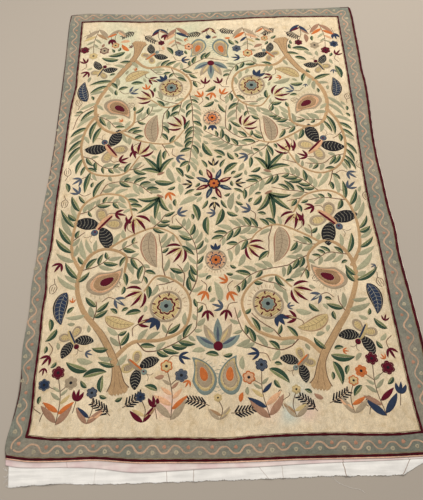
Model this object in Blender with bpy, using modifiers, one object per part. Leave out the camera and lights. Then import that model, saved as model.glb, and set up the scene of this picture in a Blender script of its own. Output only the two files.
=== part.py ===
"""Crewel embroidery panel, laid flat.

A cotton ground covered with wool chain stitch, its left and head edges softly turned under,
and an unworked cotton margin at the foot that lies on a strip of white cotton with a raw edge.
Metres, +Z up. X runs across the panel, Y towards its head. The origin is the middle of the
worked panel, on the surface that it lies on.
"""
import math
import random

import bmesh
import bpy

OBJECT_NAME = "crewel_embroidery_panel"

# Cloth
WOOL_THICKNESS = 0.0026      # cotton ground with its wool stitches
MARGIN_THICKNESS = 0.0012    # plain cotton below the stitches
MARGIN_FOLD = 0.0017         # the margin where it is folded, at its foot
LINING_THICKNESS = 0.0010
CLEARANCE = 0.00035          # between the panel's foot and the strip below it
THICKEST = 0.010             # Solidify's full thickness, scaled down by the weights

# Turned edges
TURN_FLAT = 0.010            # the turned layer keeps its full height this far in
TURN_END = 0.042             # and has gone this far in
LINING_TUCK = 0.026          # how far the strip runs in under the stitches
FOOT_LIFT_FULL = 0.030       # the foot rides on the strip up to here
FOOT_LIFT_END = 0.060        # and lies on the surface again from here
LINING_LEFT_HEAD = -0.597    # left end of the strip, under the panel
LINING_LEFT_RAW = -0.584     # and at its raw edge
LINING_RIGHT = 0.606
FRAY = 0.0016                # depth of the strip's ragged edge

# Long sides: y, left edge x, right edge x, height of the turned left edge
LONG_SIDES = (
    (-0.950, -0.598, 0.637, 0.0032),
    (-0.910, -0.602, 0.636, 0.0036),
    (-0.870, -0.609, 0.635, 0.0056),
    (-0.800, -0.600, 0.633, 0.0052),
    (-0.700, -0.594, 0.631, 0.0042),
    (-0.590, -0.601, 0.629, 0.0062),
    (-0.470, -0.598, 0.624, 0.0070),
    (-0.380, -0.603, 0.619, 0.0066),
    (-0.290, -0.600, 0.615, 0.0068),
    (-0.200, -0.603, 0.618, 0.0064),
    (-0.120, -0.606, 0.612, 0.0060),
    (0.010, -0.601, 0.610, 0.0052),
    (0.110, -0.600, 0.607, 0.0044),
    (0.230, -0.600, 0.610, 0.0042),
    (0.350, -0.602, 0.617, 0.0044),
    (0.470, -0.604, 0.621, 0.0042),
    (0.530, -0.605, 0.618, 0.0044),
    (0.640, -0.607, 0.621, 0.0042),
    (0.780, -0.612, 0.623, 0.0040),
    (0.860, -0.614, 0.624, 0.0036),
    (0.925, -0.612, 0.619, 0.0030),
)

# Short sides: x, head edge y, height of the turned head edge, foot of the stitches y, foot of the margin y
SHORT_SIDES = (
    (-0.612, 0.912, 0.0028, -0.905, -0.919),
    (-0.575, 0.917, 0.0032, -0.911, -0.927),
    (-0.530, 0.919, 0.0048, -0.916, -0.930),
    (-0.440, 0.911, 0.0056, -0.917, -0.931),
    (-0.350, 0.904, 0.0062, -0.916, -0.935),
    (-0.240, 0.900, 0.0060, -0.925, -0.948),
    (-0.140, 0.901, 0.0058, -0.927, -0.946),
    (-0.020, 0.905, 0.0062, -0.929, -0.942),
    (0.090, 0.910, 0.0056, -0.928, -0.941),
    (0.220, 0.910, 0.0060, -0.926, -0.936),
    (0.350, 0.913, 0.0054, -0.926, -0.933),
    (0.460, 0.911, 0.0056, -0.926, -0.931),
    (0.545, 0.915, 0.0048, -0.924, -0.928),
    (0.590, 0.917, 0.0032, -0.922, -0.926),
    (0.640, 0.920, 0.0028, -0.920, -0.924),
)

# Soft ripples of the panel: x, y, heading in degrees, length, half width, height
RIPPLES = (
    (-0.520, -0.792, 114.0, 0.150, 0.024, 0.0032),
    (-0.550, -0.690, 10.0, 0.180, 0.036, 0.0026),
    (-0.562, -0.300, 170.0, 0.150, 0.042, 0.0022),
    (-0.555, 0.070, 5.0, 0.130, 0.036, 0.0018),
    (-0.560, 0.560, 175.0, 0.170, 0.046, 0.0022),
    (0.570, 0.500, 8.0, 0.160, 0.036, 0.0026),
    (0.565, 0.130, 168.0, 0.190, 0.046, 0.0028),
    (0.575, -0.240, 5.0, 0.150, 0.040, 0.0022),
    (0.580, -0.560, 172.0, 0.170, 0.046, 0.0022),
    (-0.230, 0.862, 90.0, 0.150, 0.060, 0.0024),
    (0.330, 0.866, 80.0, 0.130, 0.055, 0.0020),
    (0.120, -0.790, 96.0, 0.120, 0.060, 0.0018),
)

# Raw edge of the strip: x, y
RAW_EDGE = (
    (-0.600, -0.981),
    (-0.540, -0.975),
    (-0.434, -0.971),
    (-0.400, -0.974),
    (-0.280, -0.975),
    (-0.090, -0.973),
    (0.180, -0.970),
    (0.294, -0.967),
    (0.435, -0.969),
    (0.497, -0.968),
    (0.556, -0.939),
    (0.620, -0.908),
)

# Creases of the strip: x at the panel's foot, x at the raw edge, half width, height
STRIP_CREASES = (
    (-0.560, -0.535, 0.030, 0.0020),
    (-0.400, -0.440, 0.036, 0.0026),
    (-0.155, -0.151, 0.014, 0.0014),
    (-0.075, -0.078, 0.014, 0.0012),
    (0.100, 0.135, 0.024, 0.0018),
    (0.170, 0.173, 0.014, 0.0018),
    (0.330, 0.346, 0.018, 0.0026),
    (0.440, 0.436, 0.028, 0.0014),
    (0.522, 0.497, 0.018, 0.0024),
)

# Grid lines, as distances in from an edge
SIDE_STEPS = (0.0, 0.0022, 0.0055, 0.010, 0.017, 0.028, 0.042, 0.058, 0.077, 0.100, 0.128, 0.165)
HEAD_STEPS = (0.0, 0.0022, 0.0055, 0.010, 0.017, 0.028, 0.042, 0.062, 0.090, 0.125)
FOOT_STEPS = (0.0, 0.0018, 0.012, 0.030, 0.045, 0.060, 0.080, 0.105, 0.135)
MARGIN_STEPS = (0.0, 0.14, 0.50, 0.95)   # fractions of the margin's width
MIDDLE_COLUMNS = 9
MIDDLE_ROWS = 23
STRIP_COLUMNS = 108

# Colour, roughness
CREAM_WOOL = ((0.70, 0.56, 0.38, 1.0), 0.95)
WHITE_COTTON = ((0.80, 0.77, 0.72, 1.0), 0.92)


def ease(t):
    """Smooth step from 0 to 1."""
    t = min(max(t, 0.0), 1.0)
    return t * t * (3.0 - 2.0 * t)


def smooth_read(table, at, column):
    """Value of a column on a smooth curve through the rows, which are sorted by their first number."""
    at = min(max(at, table[0][0]), table[-1][0])
    k = 0
    while k < len(table) - 2 and at > table[k + 1][0]:
        k += 1

    def slope(n):
        before, after = table[max(n - 1, 0)], table[min(n + 1, len(table) - 1)]
        return (after[column] - before[column]) / (after[0] - before[0])

    low, high = table[k], table[k + 1]
    span = high[0] - low[0]
    t = (at - low[0]) / span
    near = (2 * t ** 3 - 3 * t ** 2 + 1) * low[column] + (3 * t ** 2 - 2 * t ** 3) * high[column]
    bend = (t ** 3 - 2 * t ** 2 + t) * slope(k) + (t ** 3 - t ** 2) * slope(k + 1)
    return near + bend * span


def straight_read(table, at, column):
    """Value of a column on straight lines between the rows."""
    at = min(max(at, table[0][0]), table[-1][0])
    for low, high in zip(table, table[1:]):
        if at <= high[0]:
            return low[column] + (high[column] - low[column]) * (at - low[0]) / (high[0] - low[0])
    return table[-1][column]


def hump(t):
    """1 in the middle, 0 from a distance of 1."""
    return math.cos(0.5 * math.pi * t) ** 2 if abs(t) < 1.0 else 0.0


def left_x(y):
    return smooth_read(LONG_SIDES, y, 1)


def right_x(y):
    return smooth_read(LONG_SIDES, y, 2)


def head_y(x):
    return smooth_read(SHORT_SIDES, x, 1)


def stitch_foot_y(x):
    return smooth_read(SHORT_SIDES, x, 3)


def margin_foot_y(x):
    return min(smooth_read(SHORT_SIDES, x, 4), stitch_foot_y(x) - 0.003)


def ripple_rise(x, y):
    """How far the ripples lift the panel here."""
    rise = 0.0
    for centre_x, centre_y, heading, length, half_width, height in RIPPLES:
        cosine, sine = math.cos(math.radians(heading)), math.sin(math.radians(heading))
        dx, dy = x - centre_x, y - centre_y
        along, across = dx * cosine + dy * sine, dy * cosine - dx * sine
        rise += height * hump(2.0 * along / length) * hump(across / half_width)
    return rise


def turn_swell(inset):
    """Share of a turned edge's extra height that is left at this distance in."""
    return 1.0 - ease((inset - TURN_FLAT) / (TURN_END - TURN_FLAT))


def edge_round(inset, at_edge, at_step):
    """Rounding of a cloth edge, over the two outermost grid steps."""
    first, second = SIDE_STEPS[1], SIDE_STEPS[2]
    if inset < first:
        return at_edge + (at_step - at_edge) * inset / first
    if inset < second:
        return at_step + (1.0 - at_step) * (inset - first) / (second - first)
    return 1.0


def panel_under(x, y):
    """Height of the panel's underside."""
    left_turn = smooth_read(LONG_SIDES, y, 3)
    head_turn = smooth_read(SHORT_SIDES, x, 2)
    left_curl = 0.30 * left_turn * max(0.0, 1.0 - (x - left_x(y)) / SIDE_STEPS[1])
    head_curl = 0.30 * head_turn * max(0.0, 1.0 - (head_y(x) - y) / SIDE_STEPS[1])
    inset = y - stitch_foot_y(x)
    on_strip = 1.0 - ease((inset - FOOT_LIFT_FULL) / (FOOT_LIFT_END - FOOT_LIFT_FULL))
    past_strip = ease((x - LINING_RIGHT - 0.003) / 0.020)
    foot_lift = (LINING_THICKNESS + CLEARANCE) * on_strip * (1.0 - past_strip)
    return max(left_curl, head_curl, foot_lift) + ripple_rise(x, y)


def panel_thickness(x, y):
    """Thickness of the panel, with what is turned under it."""
    inset = y - stitch_foot_y(x)
    if inset < -0.0001:
        fraction = (y - margin_foot_y(x)) / (stitch_foot_y(x) - margin_foot_y(x))
        if fraction < MARGIN_STEPS[1]:
            cloth = 0.0009 + (MARGIN_FOLD - 0.0009) * fraction / MARGIN_STEPS[1]
        else:
            cloth = MARGIN_THICKNESS + (MARGIN_FOLD - MARGIN_THICKNESS) * (1.0 - ease(2.5 * (fraction - 0.14)))
    else:
        cloth = MARGIN_THICKNESS + (WOOL_THICKNESS - MARGIN_THICKNESS) * min(1.0, 0.7 + inset / 0.006)
    from_left, from_right, from_head = x - left_x(y), right_x(y) - x, head_y(x) - y
    left_turn = smooth_read(LONG_SIDES, y, 3) - WOOL_THICKNESS
    head_turn = smooth_read(SHORT_SIDES, x, 2) - WOOL_THICKNESS
    stack = cloth + left_turn * turn_swell(from_left) * ease((inset + 0.02) / 0.03)
    stack += head_turn * turn_swell(from_head)
    stack *= edge_round(from_left, 0.35, 0.85) * edge_round(from_head, 0.35, 0.85)
    return stack * edge_round(from_right, 0.40, 0.62)


def stations(near_steps, far_steps, middle_count):
    """Grid lines: distances in from the near edge, fractions of the middle, distances in from the far edge."""
    lines = [("near", step) for step in near_steps]
    lines += [("middle", (n + 1) / (middle_count + 1)) for n in range(middle_count)]
    lines += [("far", step) for step in reversed(far_steps)]
    return lines


def on_line(line, near, far, near_steps, far_steps):
    """Position of a grid line between two edges."""
    kind, value = line
    if kind == "near":
        return near + value
    if kind == "far":
        return far - value
    low, high = near + near_steps[-1], far - far_steps[-1]
    return low + (high - low) * value


def sheet(name, columns, rows, place, thickness, finish):
    """A grid whose points place(column, row) sets as the underside, thickened upwards with Solidify."""
    mesh = bpy.data.meshes.new(name)
    grid = bmesh.new()
    bmesh.ops.create_grid(grid, x_segments=columns - 1, y_segments=rows - 1, size=1.0)
    for vert in grid.verts:
        column = round((vert.co.x + 1.0) * 0.5 * (columns - 1))
        row = round((vert.co.y + 1.0) * 0.5 * (rows - 1))
        vert.co = place(column, row)
    grid.to_mesh(mesh)
    grid.free()
    item = bpy.data.objects.new(name, mesh)
    bpy.data.collections[OBJECT_NAME].objects.link(item)
    group = item.vertex_groups.new(name="thickness")
    for vert in mesh.vertices:
        group.add([vert.index], thickness(vert.co.x, vert.co.y) / THICKEST, "REPLACE")
    solidify = item.modifiers.new("cloth thickness", "SOLIDIFY")
    solidify.thickness = THICKEST
    solidify.offset = 1.0
    solidify.vertex_group = group.name
    colour, roughness = finish
    material = bpy.data.materials.new(name)
    material.use_nodes = True
    shader = material.node_tree.nodes["Principled BSDF"]
    shader.inputs["Base Color"].default_value = colour
    shader.inputs["Roughness"].default_value = roughness
    shader.inputs["Metallic"].default_value = 0.0
    material.diffuse_color = colour
    mesh.materials.append(material)
    mesh.shade_smooth()
    mesh.set_sharp_from_angle(angle=math.radians(40.0))
    return item


def build_panel():
    """The embroidered cloth with its turned edges and its unworked foot."""
    column_lines = stations(SIDE_STEPS, SIDE_STEPS, MIDDLE_COLUMNS)
    row_lines = [("margin", step) for step in MARGIN_STEPS] + stations(FOOT_STEPS, HEAD_STEPS, MIDDLE_ROWS)

    def row_y(line, x):
        if line[0] == "margin":
            low, high = margin_foot_y(x), stitch_foot_y(x)
            return low + (high - low) * line[1]
        return on_line(line, stitch_foot_y(x), head_y(x), FOOT_STEPS, HEAD_STEPS)

    def place(column, row):
        x = 0.0
        for _ in range(3):
            y = row_y(row_lines[row], x)
            x = on_line(column_lines[column], left_x(y), right_x(y), SIDE_STEPS, SIDE_STEPS)
        return (x, y, panel_under(x, y))

    return sheet("embroidered_panel", len(column_lines), len(row_lines), place, panel_thickness, CREAM_WOOL)


def build_strip():
    """The white cotton strip under the panel's foot, with its ragged edge and slanting corner."""
    fray = random.Random(11)
    edge_fray = [fray.uniform(-FRAY, FRAY) for _ in range(STRIP_COLUMNS)]

    def crease_rise(x, y, share):
        clear_of_panel = ease((margin_foot_y(x) - 0.002 - y) / 0.010)
        rise = 0.0
        for head_x, raw_x, half_width, height in STRIP_CREASES:
            crease_x = head_x + (raw_x - head_x) * share
            rise += height * hump((x - crease_x) / half_width)
        return rise * clear_of_panel

    def place(column, row):
        share = (0.0, 0.5, 0.62, 0.8, 1.0)[4 - row]
        left = LINING_LEFT_HEAD + (LINING_LEFT_RAW - LINING_LEFT_HEAD) * share
        x = left + (LINING_RIGHT - left) * column / (STRIP_COLUMNS - 1)
        top = stitch_foot_y(x) + LINING_TUCK
        raw = straight_read(RAW_EDGE, x, 1) + edge_fray[column]
        levels = {
            4: top,
            3: max(margin_foot_y(x) - 0.002, raw + 0.45 * (top - raw)),
            2: max(margin_foot_y(x) - 0.011, raw + 0.30 * (top - raw)),
            1: raw + 0.14 * (top - raw),
            0: raw,
        }
        y = levels[row]
        return (x, y, crease_rise(x, y, share))

    return sheet("lining_strip", STRIP_COLUMNS, 5, place, lambda x, y: LINING_THICKNESS, WHITE_COTTON)


def main():
    for item in list(bpy.data.objects):
        bpy.data.objects.remove(item, do_unlink=True)
    collection = bpy.data.collections.new(OBJECT_NAME)
    bpy.context.scene.collection.children.link(collection)
    build_panel()
    build_strip()


main()
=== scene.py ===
import math
import random

import bpy
import numpy as np
from mathutils import Matrix, Vector


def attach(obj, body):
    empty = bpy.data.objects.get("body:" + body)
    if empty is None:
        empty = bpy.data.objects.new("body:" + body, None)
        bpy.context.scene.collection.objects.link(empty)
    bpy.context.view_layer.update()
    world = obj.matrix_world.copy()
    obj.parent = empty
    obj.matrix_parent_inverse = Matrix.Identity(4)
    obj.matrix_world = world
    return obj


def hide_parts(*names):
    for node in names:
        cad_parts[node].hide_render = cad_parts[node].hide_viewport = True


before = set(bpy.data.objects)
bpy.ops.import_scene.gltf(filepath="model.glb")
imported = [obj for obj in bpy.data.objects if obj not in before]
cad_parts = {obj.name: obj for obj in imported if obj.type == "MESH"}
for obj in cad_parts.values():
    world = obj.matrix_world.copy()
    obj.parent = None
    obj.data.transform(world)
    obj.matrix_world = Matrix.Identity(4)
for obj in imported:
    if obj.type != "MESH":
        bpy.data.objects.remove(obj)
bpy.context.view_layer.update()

print("solids loaded")
bpy.context.scene.view_settings.view_transform = "Standard"


# the cloth as it lies, in metres and in the same sizes as its solids

clothSizes = {
    "wool": 0.0026,             # thickness of the worked cloth
    "margin": 0.0012,           # of the plain margin at the foot
    "marginFold": 0.0017,       # of the fold along the margin's free edge
    "foldRim": 0.0009,          # of that fold's rim
    "foldShare": 0.14,          # share of the margin that the fold takes up
    "lining": 0.0010,           # of the white strip
    "gap": 0.00035,             # between the strip and the panel that lies on it
    "turnFlat": 0.010,          # a turned edge is full so far in
    "turnEnd": 0.042,           # and has run out here
    "curl": 0.30,               # share of a turned edge's height that its rim is raised by
    "rim": 0.0022,              # the outermost part of an edge
    "rounded": 0.0055,          # an edge is rounded off within this
    "footLiftFull": 0.030,      # the foot lies on the strip so far in
    "footLiftEnd": 0.060,       # and is down again here
    "liningTuck": 0.026,        # of the strip, under the panel
    "liningLeftHead": -0.597,   # x of the strip's left end, under the panel
    "liningLeftRaw": -0.584,    # and at its raw edge
    "liningRight": 0.606,
}

# y, left edge x, right edge x, height of the turned left edge
longSides = np.array([
    (-0.950, -0.598, 0.637, 0.0032),
    (-0.910, -0.602, 0.636, 0.0036),
    (-0.870, -0.609, 0.635, 0.0056),
    (-0.800, -0.600, 0.633, 0.0052),
    (-0.700, -0.594, 0.631, 0.0042),
    (-0.590, -0.601, 0.629, 0.0062),
    (-0.470, -0.598, 0.624, 0.0070),
    (-0.380, -0.603, 0.619, 0.0066),
    (-0.290, -0.600, 0.615, 0.0068),
    (-0.200, -0.603, 0.618, 0.0064),
    (-0.120, -0.606, 0.612, 0.0060),
    (0.010, -0.601, 0.610, 0.0052),
    (0.110, -0.600, 0.607, 0.0044),
    (0.230, -0.600, 0.610, 0.0042),
    (0.350, -0.602, 0.617, 0.0044),
    (0.470, -0.604, 0.621, 0.0042),
    (0.530, -0.605, 0.618, 0.0044),
    (0.640, -0.607, 0.621, 0.0042),
    (0.780, -0.612, 0.623, 0.0040),
    (0.860, -0.614, 0.624, 0.0036),
    (0.925, -0.612, 0.619, 0.0030),
])

# x, head edge y, height of the turned head edge, foot of the stitches y, foot of the margin y
shortSides = np.array([
    (-0.612, 0.912, 0.0028, -0.905, -0.919),
    (-0.575, 0.917, 0.0032, -0.911, -0.927),
    (-0.530, 0.919, 0.0048, -0.916, -0.930),
    (-0.440, 0.911, 0.0056, -0.917, -0.931),
    (-0.350, 0.904, 0.0062, -0.916, -0.935),
    (-0.240, 0.900, 0.0060, -0.925, -0.948),
    (-0.140, 0.901, 0.0058, -0.927, -0.946),
    (-0.020, 0.905, 0.0062, -0.929, -0.942),
    (0.090, 0.910, 0.0056, -0.928, -0.941),
    (0.220, 0.910, 0.0060, -0.926, -0.936),
    (0.350, 0.913, 0.0054, -0.926, -0.933),
    (0.460, 0.911, 0.0056, -0.926, -0.931),
    (0.545, 0.915, 0.0048, -0.924, -0.928),
    (0.590, 0.917, 0.0032, -0.922, -0.926),
    (0.640, 0.920, 0.0028, -0.920, -0.924),
])

# inner dark line of the border along the sides: y, left x, right x
innerSides = np.array([
    (-0.870, -0.557, 0.571),
    (-0.820, -0.549, 0.566),
    (-0.770, -0.548, 0.562),
    (-0.680, -0.552, 0.558),
    (-0.570, -0.553, 0.554),
    (-0.470, -0.557, 0.551),
    (-0.400, -0.555, 0.551),
    (-0.330, -0.562, 0.551),
    (-0.250, -0.558, 0.549),
    (-0.170, -0.559, 0.545),
    (-0.080, -0.561, 0.542),
    (0.030, -0.560, 0.543),
    (0.150, -0.557, 0.545),
    (0.300, -0.557, 0.551),
    (0.400, -0.554, 0.552),
    (0.480, -0.547, 0.554),
    (0.550, -0.549, 0.556),
    (0.640, -0.551, 0.557),
    (0.750, -0.554, 0.558),
    (0.870, -0.558, 0.560),
])

# and along the ends: x, foot y, head y
innerEnds = np.array([
    (-0.560, -0.847, 0.865),
    (-0.520, -0.852, 0.866),
    (-0.475, -0.857, 0.867),
    (-0.390, -0.858, 0.862),
    (-0.300, -0.860, 0.855),
    (-0.200, -0.862, 0.852),
    (-0.100, -0.864, 0.853),
    (0.010, -0.868, 0.856),
    (0.100, -0.863, 0.859),
    (0.200, -0.860, 0.864),
    (0.330, -0.860, 0.863),
    (0.410, -0.863, 0.862),
    (0.500, -0.864, 0.860),
    (0.570, -0.859, 0.856),
])

# soft ripples: x, y, heading in degrees, length, half width, height
ripples = [
    (-0.520, -0.792, 114.0, 0.150, 0.024, 0.0032),
    (-0.550, -0.690, 10.0, 0.180, 0.036, 0.0026),
    (-0.562, -0.300, 170.0, 0.150, 0.042, 0.0022),
    (-0.555, 0.070, 5.0, 0.130, 0.036, 0.0018),
    (-0.560, 0.560, 175.0, 0.170, 0.046, 0.0022),
    (0.570, 0.500, 8.0, 0.160, 0.036, 0.0026),
    (0.565, 0.130, 168.0, 0.190, 0.046, 0.0028),
    (0.575, -0.240, 5.0, 0.150, 0.040, 0.0022),
    (0.580, -0.560, 172.0, 0.170, 0.046, 0.0022),
    (-0.230, 0.862, 90.0, 0.150, 0.060, 0.0024),
    (0.330, 0.866, 80.0, 0.130, 0.055, 0.0020),
    (0.120, -0.790, 96.0, 0.120, 0.060, 0.0018),
]

# raw edge of the strip: x, y
rawEdge = np.array([
    (-0.600, -0.981),
    (-0.540, -0.975),
    (-0.434, -0.971),
    (-0.400, -0.974),
    (-0.280, -0.975),
    (-0.090, -0.973),
    (0.180, -0.970),
    (0.294, -0.967),
    (0.435, -0.969),
    (0.497, -0.968),
    (0.556, -0.939),
    (0.620, -0.908),
])

# creases of the strip: x at the panel's foot, x at the raw edge, half width, height, darkness of the painted
# shadow line in the crease
stripCreases = [
    (-0.560, -0.535, 0.030, 0.0020, 0.0),
    (-0.425, -0.474, 0.036, 0.0026, 0.0),
    (-0.347, -0.350, 0.016, 0.0010, 0.20),
    (-0.154, -0.150, 0.014, 0.0014, 0.50),
    (-0.077, -0.077, 0.014, 0.0012, 0.55),
    (0.094, 0.128, 0.024, 0.0018, 0.45),
    (0.167, 0.168, 0.014, 0.0018, 0.40),
    (0.335, 0.341, 0.018, 0.0026, 0.90),
    (0.440, 0.436, 0.028, 0.0014, 0.0),
    (0.521, 0.493, 0.018, 0.0024, 0.85),
]


def smoothColumn(table, column):
    # a curve through the rows, sampled once and then read by straight lines
    places, values = table[:, 0], table[:, column]
    slopes = np.gradient(values, places)
    slopes[1:-1] = (values[2:] - values[:-2]) / (places[2:] - places[:-2])
    samples = np.linspace(places[0], places[-1], 900)
    k = np.clip(np.searchsorted(places, samples, side="right") - 1, 0, len(places) - 2)
    span = places[k + 1] - places[k]
    t = (samples - places[k]) / span
    curve = (2 * t ** 3 - 3 * t ** 2 + 1) * values[k] + (3 * t ** 2 - 2 * t ** 3) * values[k + 1]
    curve += ((t ** 3 - 2 * t ** 2 + t) * slopes[k] + (t ** 3 - t ** 2) * slopes[k + 1]) * span
    return lambda at: np.interp(at, samples, curve)


leftX = smoothColumn(longSides, 1)
rightX = smoothColumn(longSides, 2)
leftTurn = smoothColumn(longSides, 3)
headY = smoothColumn(shortSides, 1)
headTurn = smoothColumn(shortSides, 2)
stitchFootY = smoothColumn(shortSides, 3)
marginCurve = smoothColumn(shortSides, 4)
innerLeftX = smoothColumn(innerSides, 1)
innerRightX = smoothColumn(innerSides, 2)
innerFootY = smoothColumn(innerEnds, 1)
innerHeadY = smoothColumn(innerEnds, 2)


def marginFootY(x):
    return np.minimum(marginCurve(x), stitchFootY(x) - 0.003)


def ease(t):
    # a soft rise from 0 to 1
    t = np.clip(t, 0.0, 1.0)
    return t * t * (3.0 - 2.0 * t)


def hump(t):
    # a round hill between -1 and 1
    return np.where(np.abs(t) < 1.0, np.cos(0.5 * np.pi * np.clip(t, -1.0, 1.0)) ** 2, 0.0)


def rippleRise(x, y):
    rise = np.zeros_like(x)
    for centreX, centreY, heading, length, halfWidth, height in ripples:
        cosine, sine = math.cos(math.radians(heading)), math.sin(math.radians(heading))
        along = (x - centreX) * cosine + (y - centreY) * sine
        across = (y - centreY) * cosine - (x - centreX) * sine
        rise = rise + height * hump(2.0 * along / length) * hump(across / halfWidth)
    return rise


def edgeRound(inset, atEdge, atStep):
    # share of the full thickness that is left near an edge
    return np.interp(inset, (0.0, clothSizes["rim"], clothSizes["rounded"]), (atEdge, atStep, 1.0))


def clothUnder(x, y):
    # height of the underside
    curl, rim = clothSizes["curl"], clothSizes["rim"]
    leftCurl = curl * leftTurn(y) * np.clip(1.0 - (x - leftX(y)) / rim, 0.0, 1.0)
    headCurl = curl * headTurn(x) * np.clip(1.0 - (headY(x) - y) / rim, 0.0, 1.0)
    inset = y - stitchFootY(x)
    liftSpan = clothSizes["footLiftEnd"] - clothSizes["footLiftFull"]
    onStrip = 1.0 - ease((inset - clothSizes["footLiftFull"]) / liftSpan)
    pastStrip = ease((x - clothSizes["liningRight"] - 0.003) / 0.020)
    footLift = (clothSizes["lining"] + clothSizes["gap"]) * onStrip * (1.0 - pastStrip)
    return np.maximum(np.maximum(leftCurl, headCurl), footLift) + rippleRise(x, y)


def clothThickness(x, y):
    # worked cloth, or plain margin below the stitches, with the turned edges laid on top
    wool, margin, fold = clothSizes["wool"], clothSizes["margin"], clothSizes["marginFold"]
    inset = y - stitchFootY(x)
    share = (y - marginFootY(x)) / (stitchFootY(x) - marginFootY(x))
    foldRim, foldShare = clothSizes["foldRim"], clothSizes["foldShare"]
    hem = foldRim + (fold - foldRim) * share / foldShare
    plain = margin + (fold - margin) * (1.0 - ease(2.5 * (share - foldShare)))
    below = np.where(share < foldShare, hem, plain)
    stitched = margin + (wool - margin) * np.minimum(1.0, 0.7 + inset / 0.006)
    stack = np.where(inset < -0.0001, below, stitched)
    span = clothSizes["turnEnd"] - clothSizes["turnFlat"]
    fromLeft, fromRight, fromHead = x - leftX(y), rightX(y) - x, headY(x) - y
    leftSwell = 1.0 - ease((fromLeft - clothSizes["turnFlat"]) / span)
    headSwell = 1.0 - ease((fromHead - clothSizes["turnFlat"]) / span)
    stack = stack + (leftTurn(y) - wool) * leftSwell * ease((inset + 0.02) / 0.03)
    stack = stack + (headTurn(x) - wool) * headSwell
    stack = stack * edgeRound(fromLeft, 0.35, 0.85) * edgeRound(fromHead, 0.35, 0.85)
    return np.maximum(stack * edgeRound(fromRight, 0.40, 0.62), 0.0006)


def clothTop(x, y):
    return clothUnder(x, y) + clothThickness(x, y)


# small node helpers

def wire(tree, socket, value):
    if isinstance(value, bpy.types.NodeSocket):
        tree.links.new(value, socket)
    else:
        socket.default_value = value


def addNode(tree, kind, inputs=(), **settings):
    # inputs go by their place or their name
    node = tree.nodes.new("ShaderNode" + kind)
    for name, value in settings.items():
        setattr(node, name, value)
    for key, value in dict(inputs).items():
        wire(tree, node.inputs[key], value)
    return node


def calc(tree, operation, *values):
    return addNode(tree, "Math", enumerate(values), operation=operation).outputs[0]


def calcPlaces(tree, operation, first, second):
    return addNode(tree, "VectorMath", {0: first, 1: second}, operation=operation).outputs[0]


def scaled(tree, vector, factor):
    # a place or a colour times one number
    vector = vector[:3] if isinstance(vector, tuple) else vector
    return addNode(tree, "VectorMath", {0: vector, 3: factor}, operation="SCALE").outputs[0]


def remap(tree, value, fromLow, fromHigh, toLow=0.0, toHigh=1.0, smooth=True):
    limits = enumerate((value, fromLow, fromHigh, toLow, toHigh))
    node = addNode(tree, "MapRange", limits, interpolation_type="SMOOTHSTEP" if smooth else "LINEAR")
    return node.outputs[0]


def blendColour(tree, share, first, second):
    return addNode(tree, "Mix", {0: share, 6: first, 7: second}, data_type="RGBA").outputs[2]


def cloudy(tree, place, scale, detail=2.0):
    # soft clouds over the cloth: the first output is grey, the second coloured
    inputs = {"Vector": place, "Scale": scale, "Detail": detail}
    return addNode(tree, "TexNoise", inputs, noise_dimensions="2D").outputs


def patchy(tree, colour, place, scale, detail, low, high, darkest, lightest):
    # a colour that drifts between darker and lighter
    clouds = cloudy(tree, place, scale, detail)[0]
    return scaled(tree, colour, remap(tree, clouds, low, high, darkest, lightest))


def split(tree, place):
    return addNode(tree, "SeparateXYZ", {0: place}).outputs


def lieOf(tree):
    # where a point lies on the cloth, in metres
    return addNode(tree, "TexCoord").outputs["Object"]


def linear(red, green, blue):
    # a dye colour read off a paint card, 0 to 255, as Blender's linear colour
    parts = []
    for value in (red, green, blue):
        share = value / 255.0
        parts.append(share / 12.92 if share <= 0.04045 else ((share + 0.055) / 1.055) ** 2.4)
    return (*parts, 1.0)


def emptyFinish(name, roughness, sheen):
    material = bpy.data.materials.new(name)
    material.use_nodes = True
    tree = material.node_tree
    surface = tree.nodes["Principled BSDF"]
    surface.inputs["Roughness"].default_value = roughness
    surface.inputs["Specular IOR Level"].default_value = 0.15
    surface.inputs["Sheen Weight"].default_value = sheen
    surface.inputs["Sheen Roughness"].default_value = 0.5
    return material, tree, surface


def cover(tree, surface, colour, height, distance, strength):
    # the colour and the small relief of a finish
    bump = addNode(tree, "Bump", {"Strength": strength, "Distance": distance, "Height": height})
    tree.links.new(colour, surface.inputs["Base Color"])
    tree.links.new(bump.outputs[0], surface.inputs["Normal"])


# wool chain stitch

stitchLook = {
    "rowPitch": 0.0023,
    "stitchLength": 0.0042,
    "lead": 0.32,           # how far the sides of a link run ahead of its middle
    "wander": 0.0036,       # how far the rows stray
    "wanderSize": 55.0,     # waves of that in a metre
    "depth": 0.0009,        # bump between the rows
    "strength": 0.75,
    "gapShade": 0.30,       # painted shade in the gaps between rows and between stitch links
    "stitchVary": 0.16,
}


def fromMiddle(tree, value):
    # 0 in the middle of each whole step and 1 at its ends
    centred = calc(tree, "SUBTRACT", calc(tree, "FRACT", value), 0.5)
    return calc(tree, "MULTIPLY", calc(tree, "ABSOLUTE", centred), 2.0)


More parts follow.
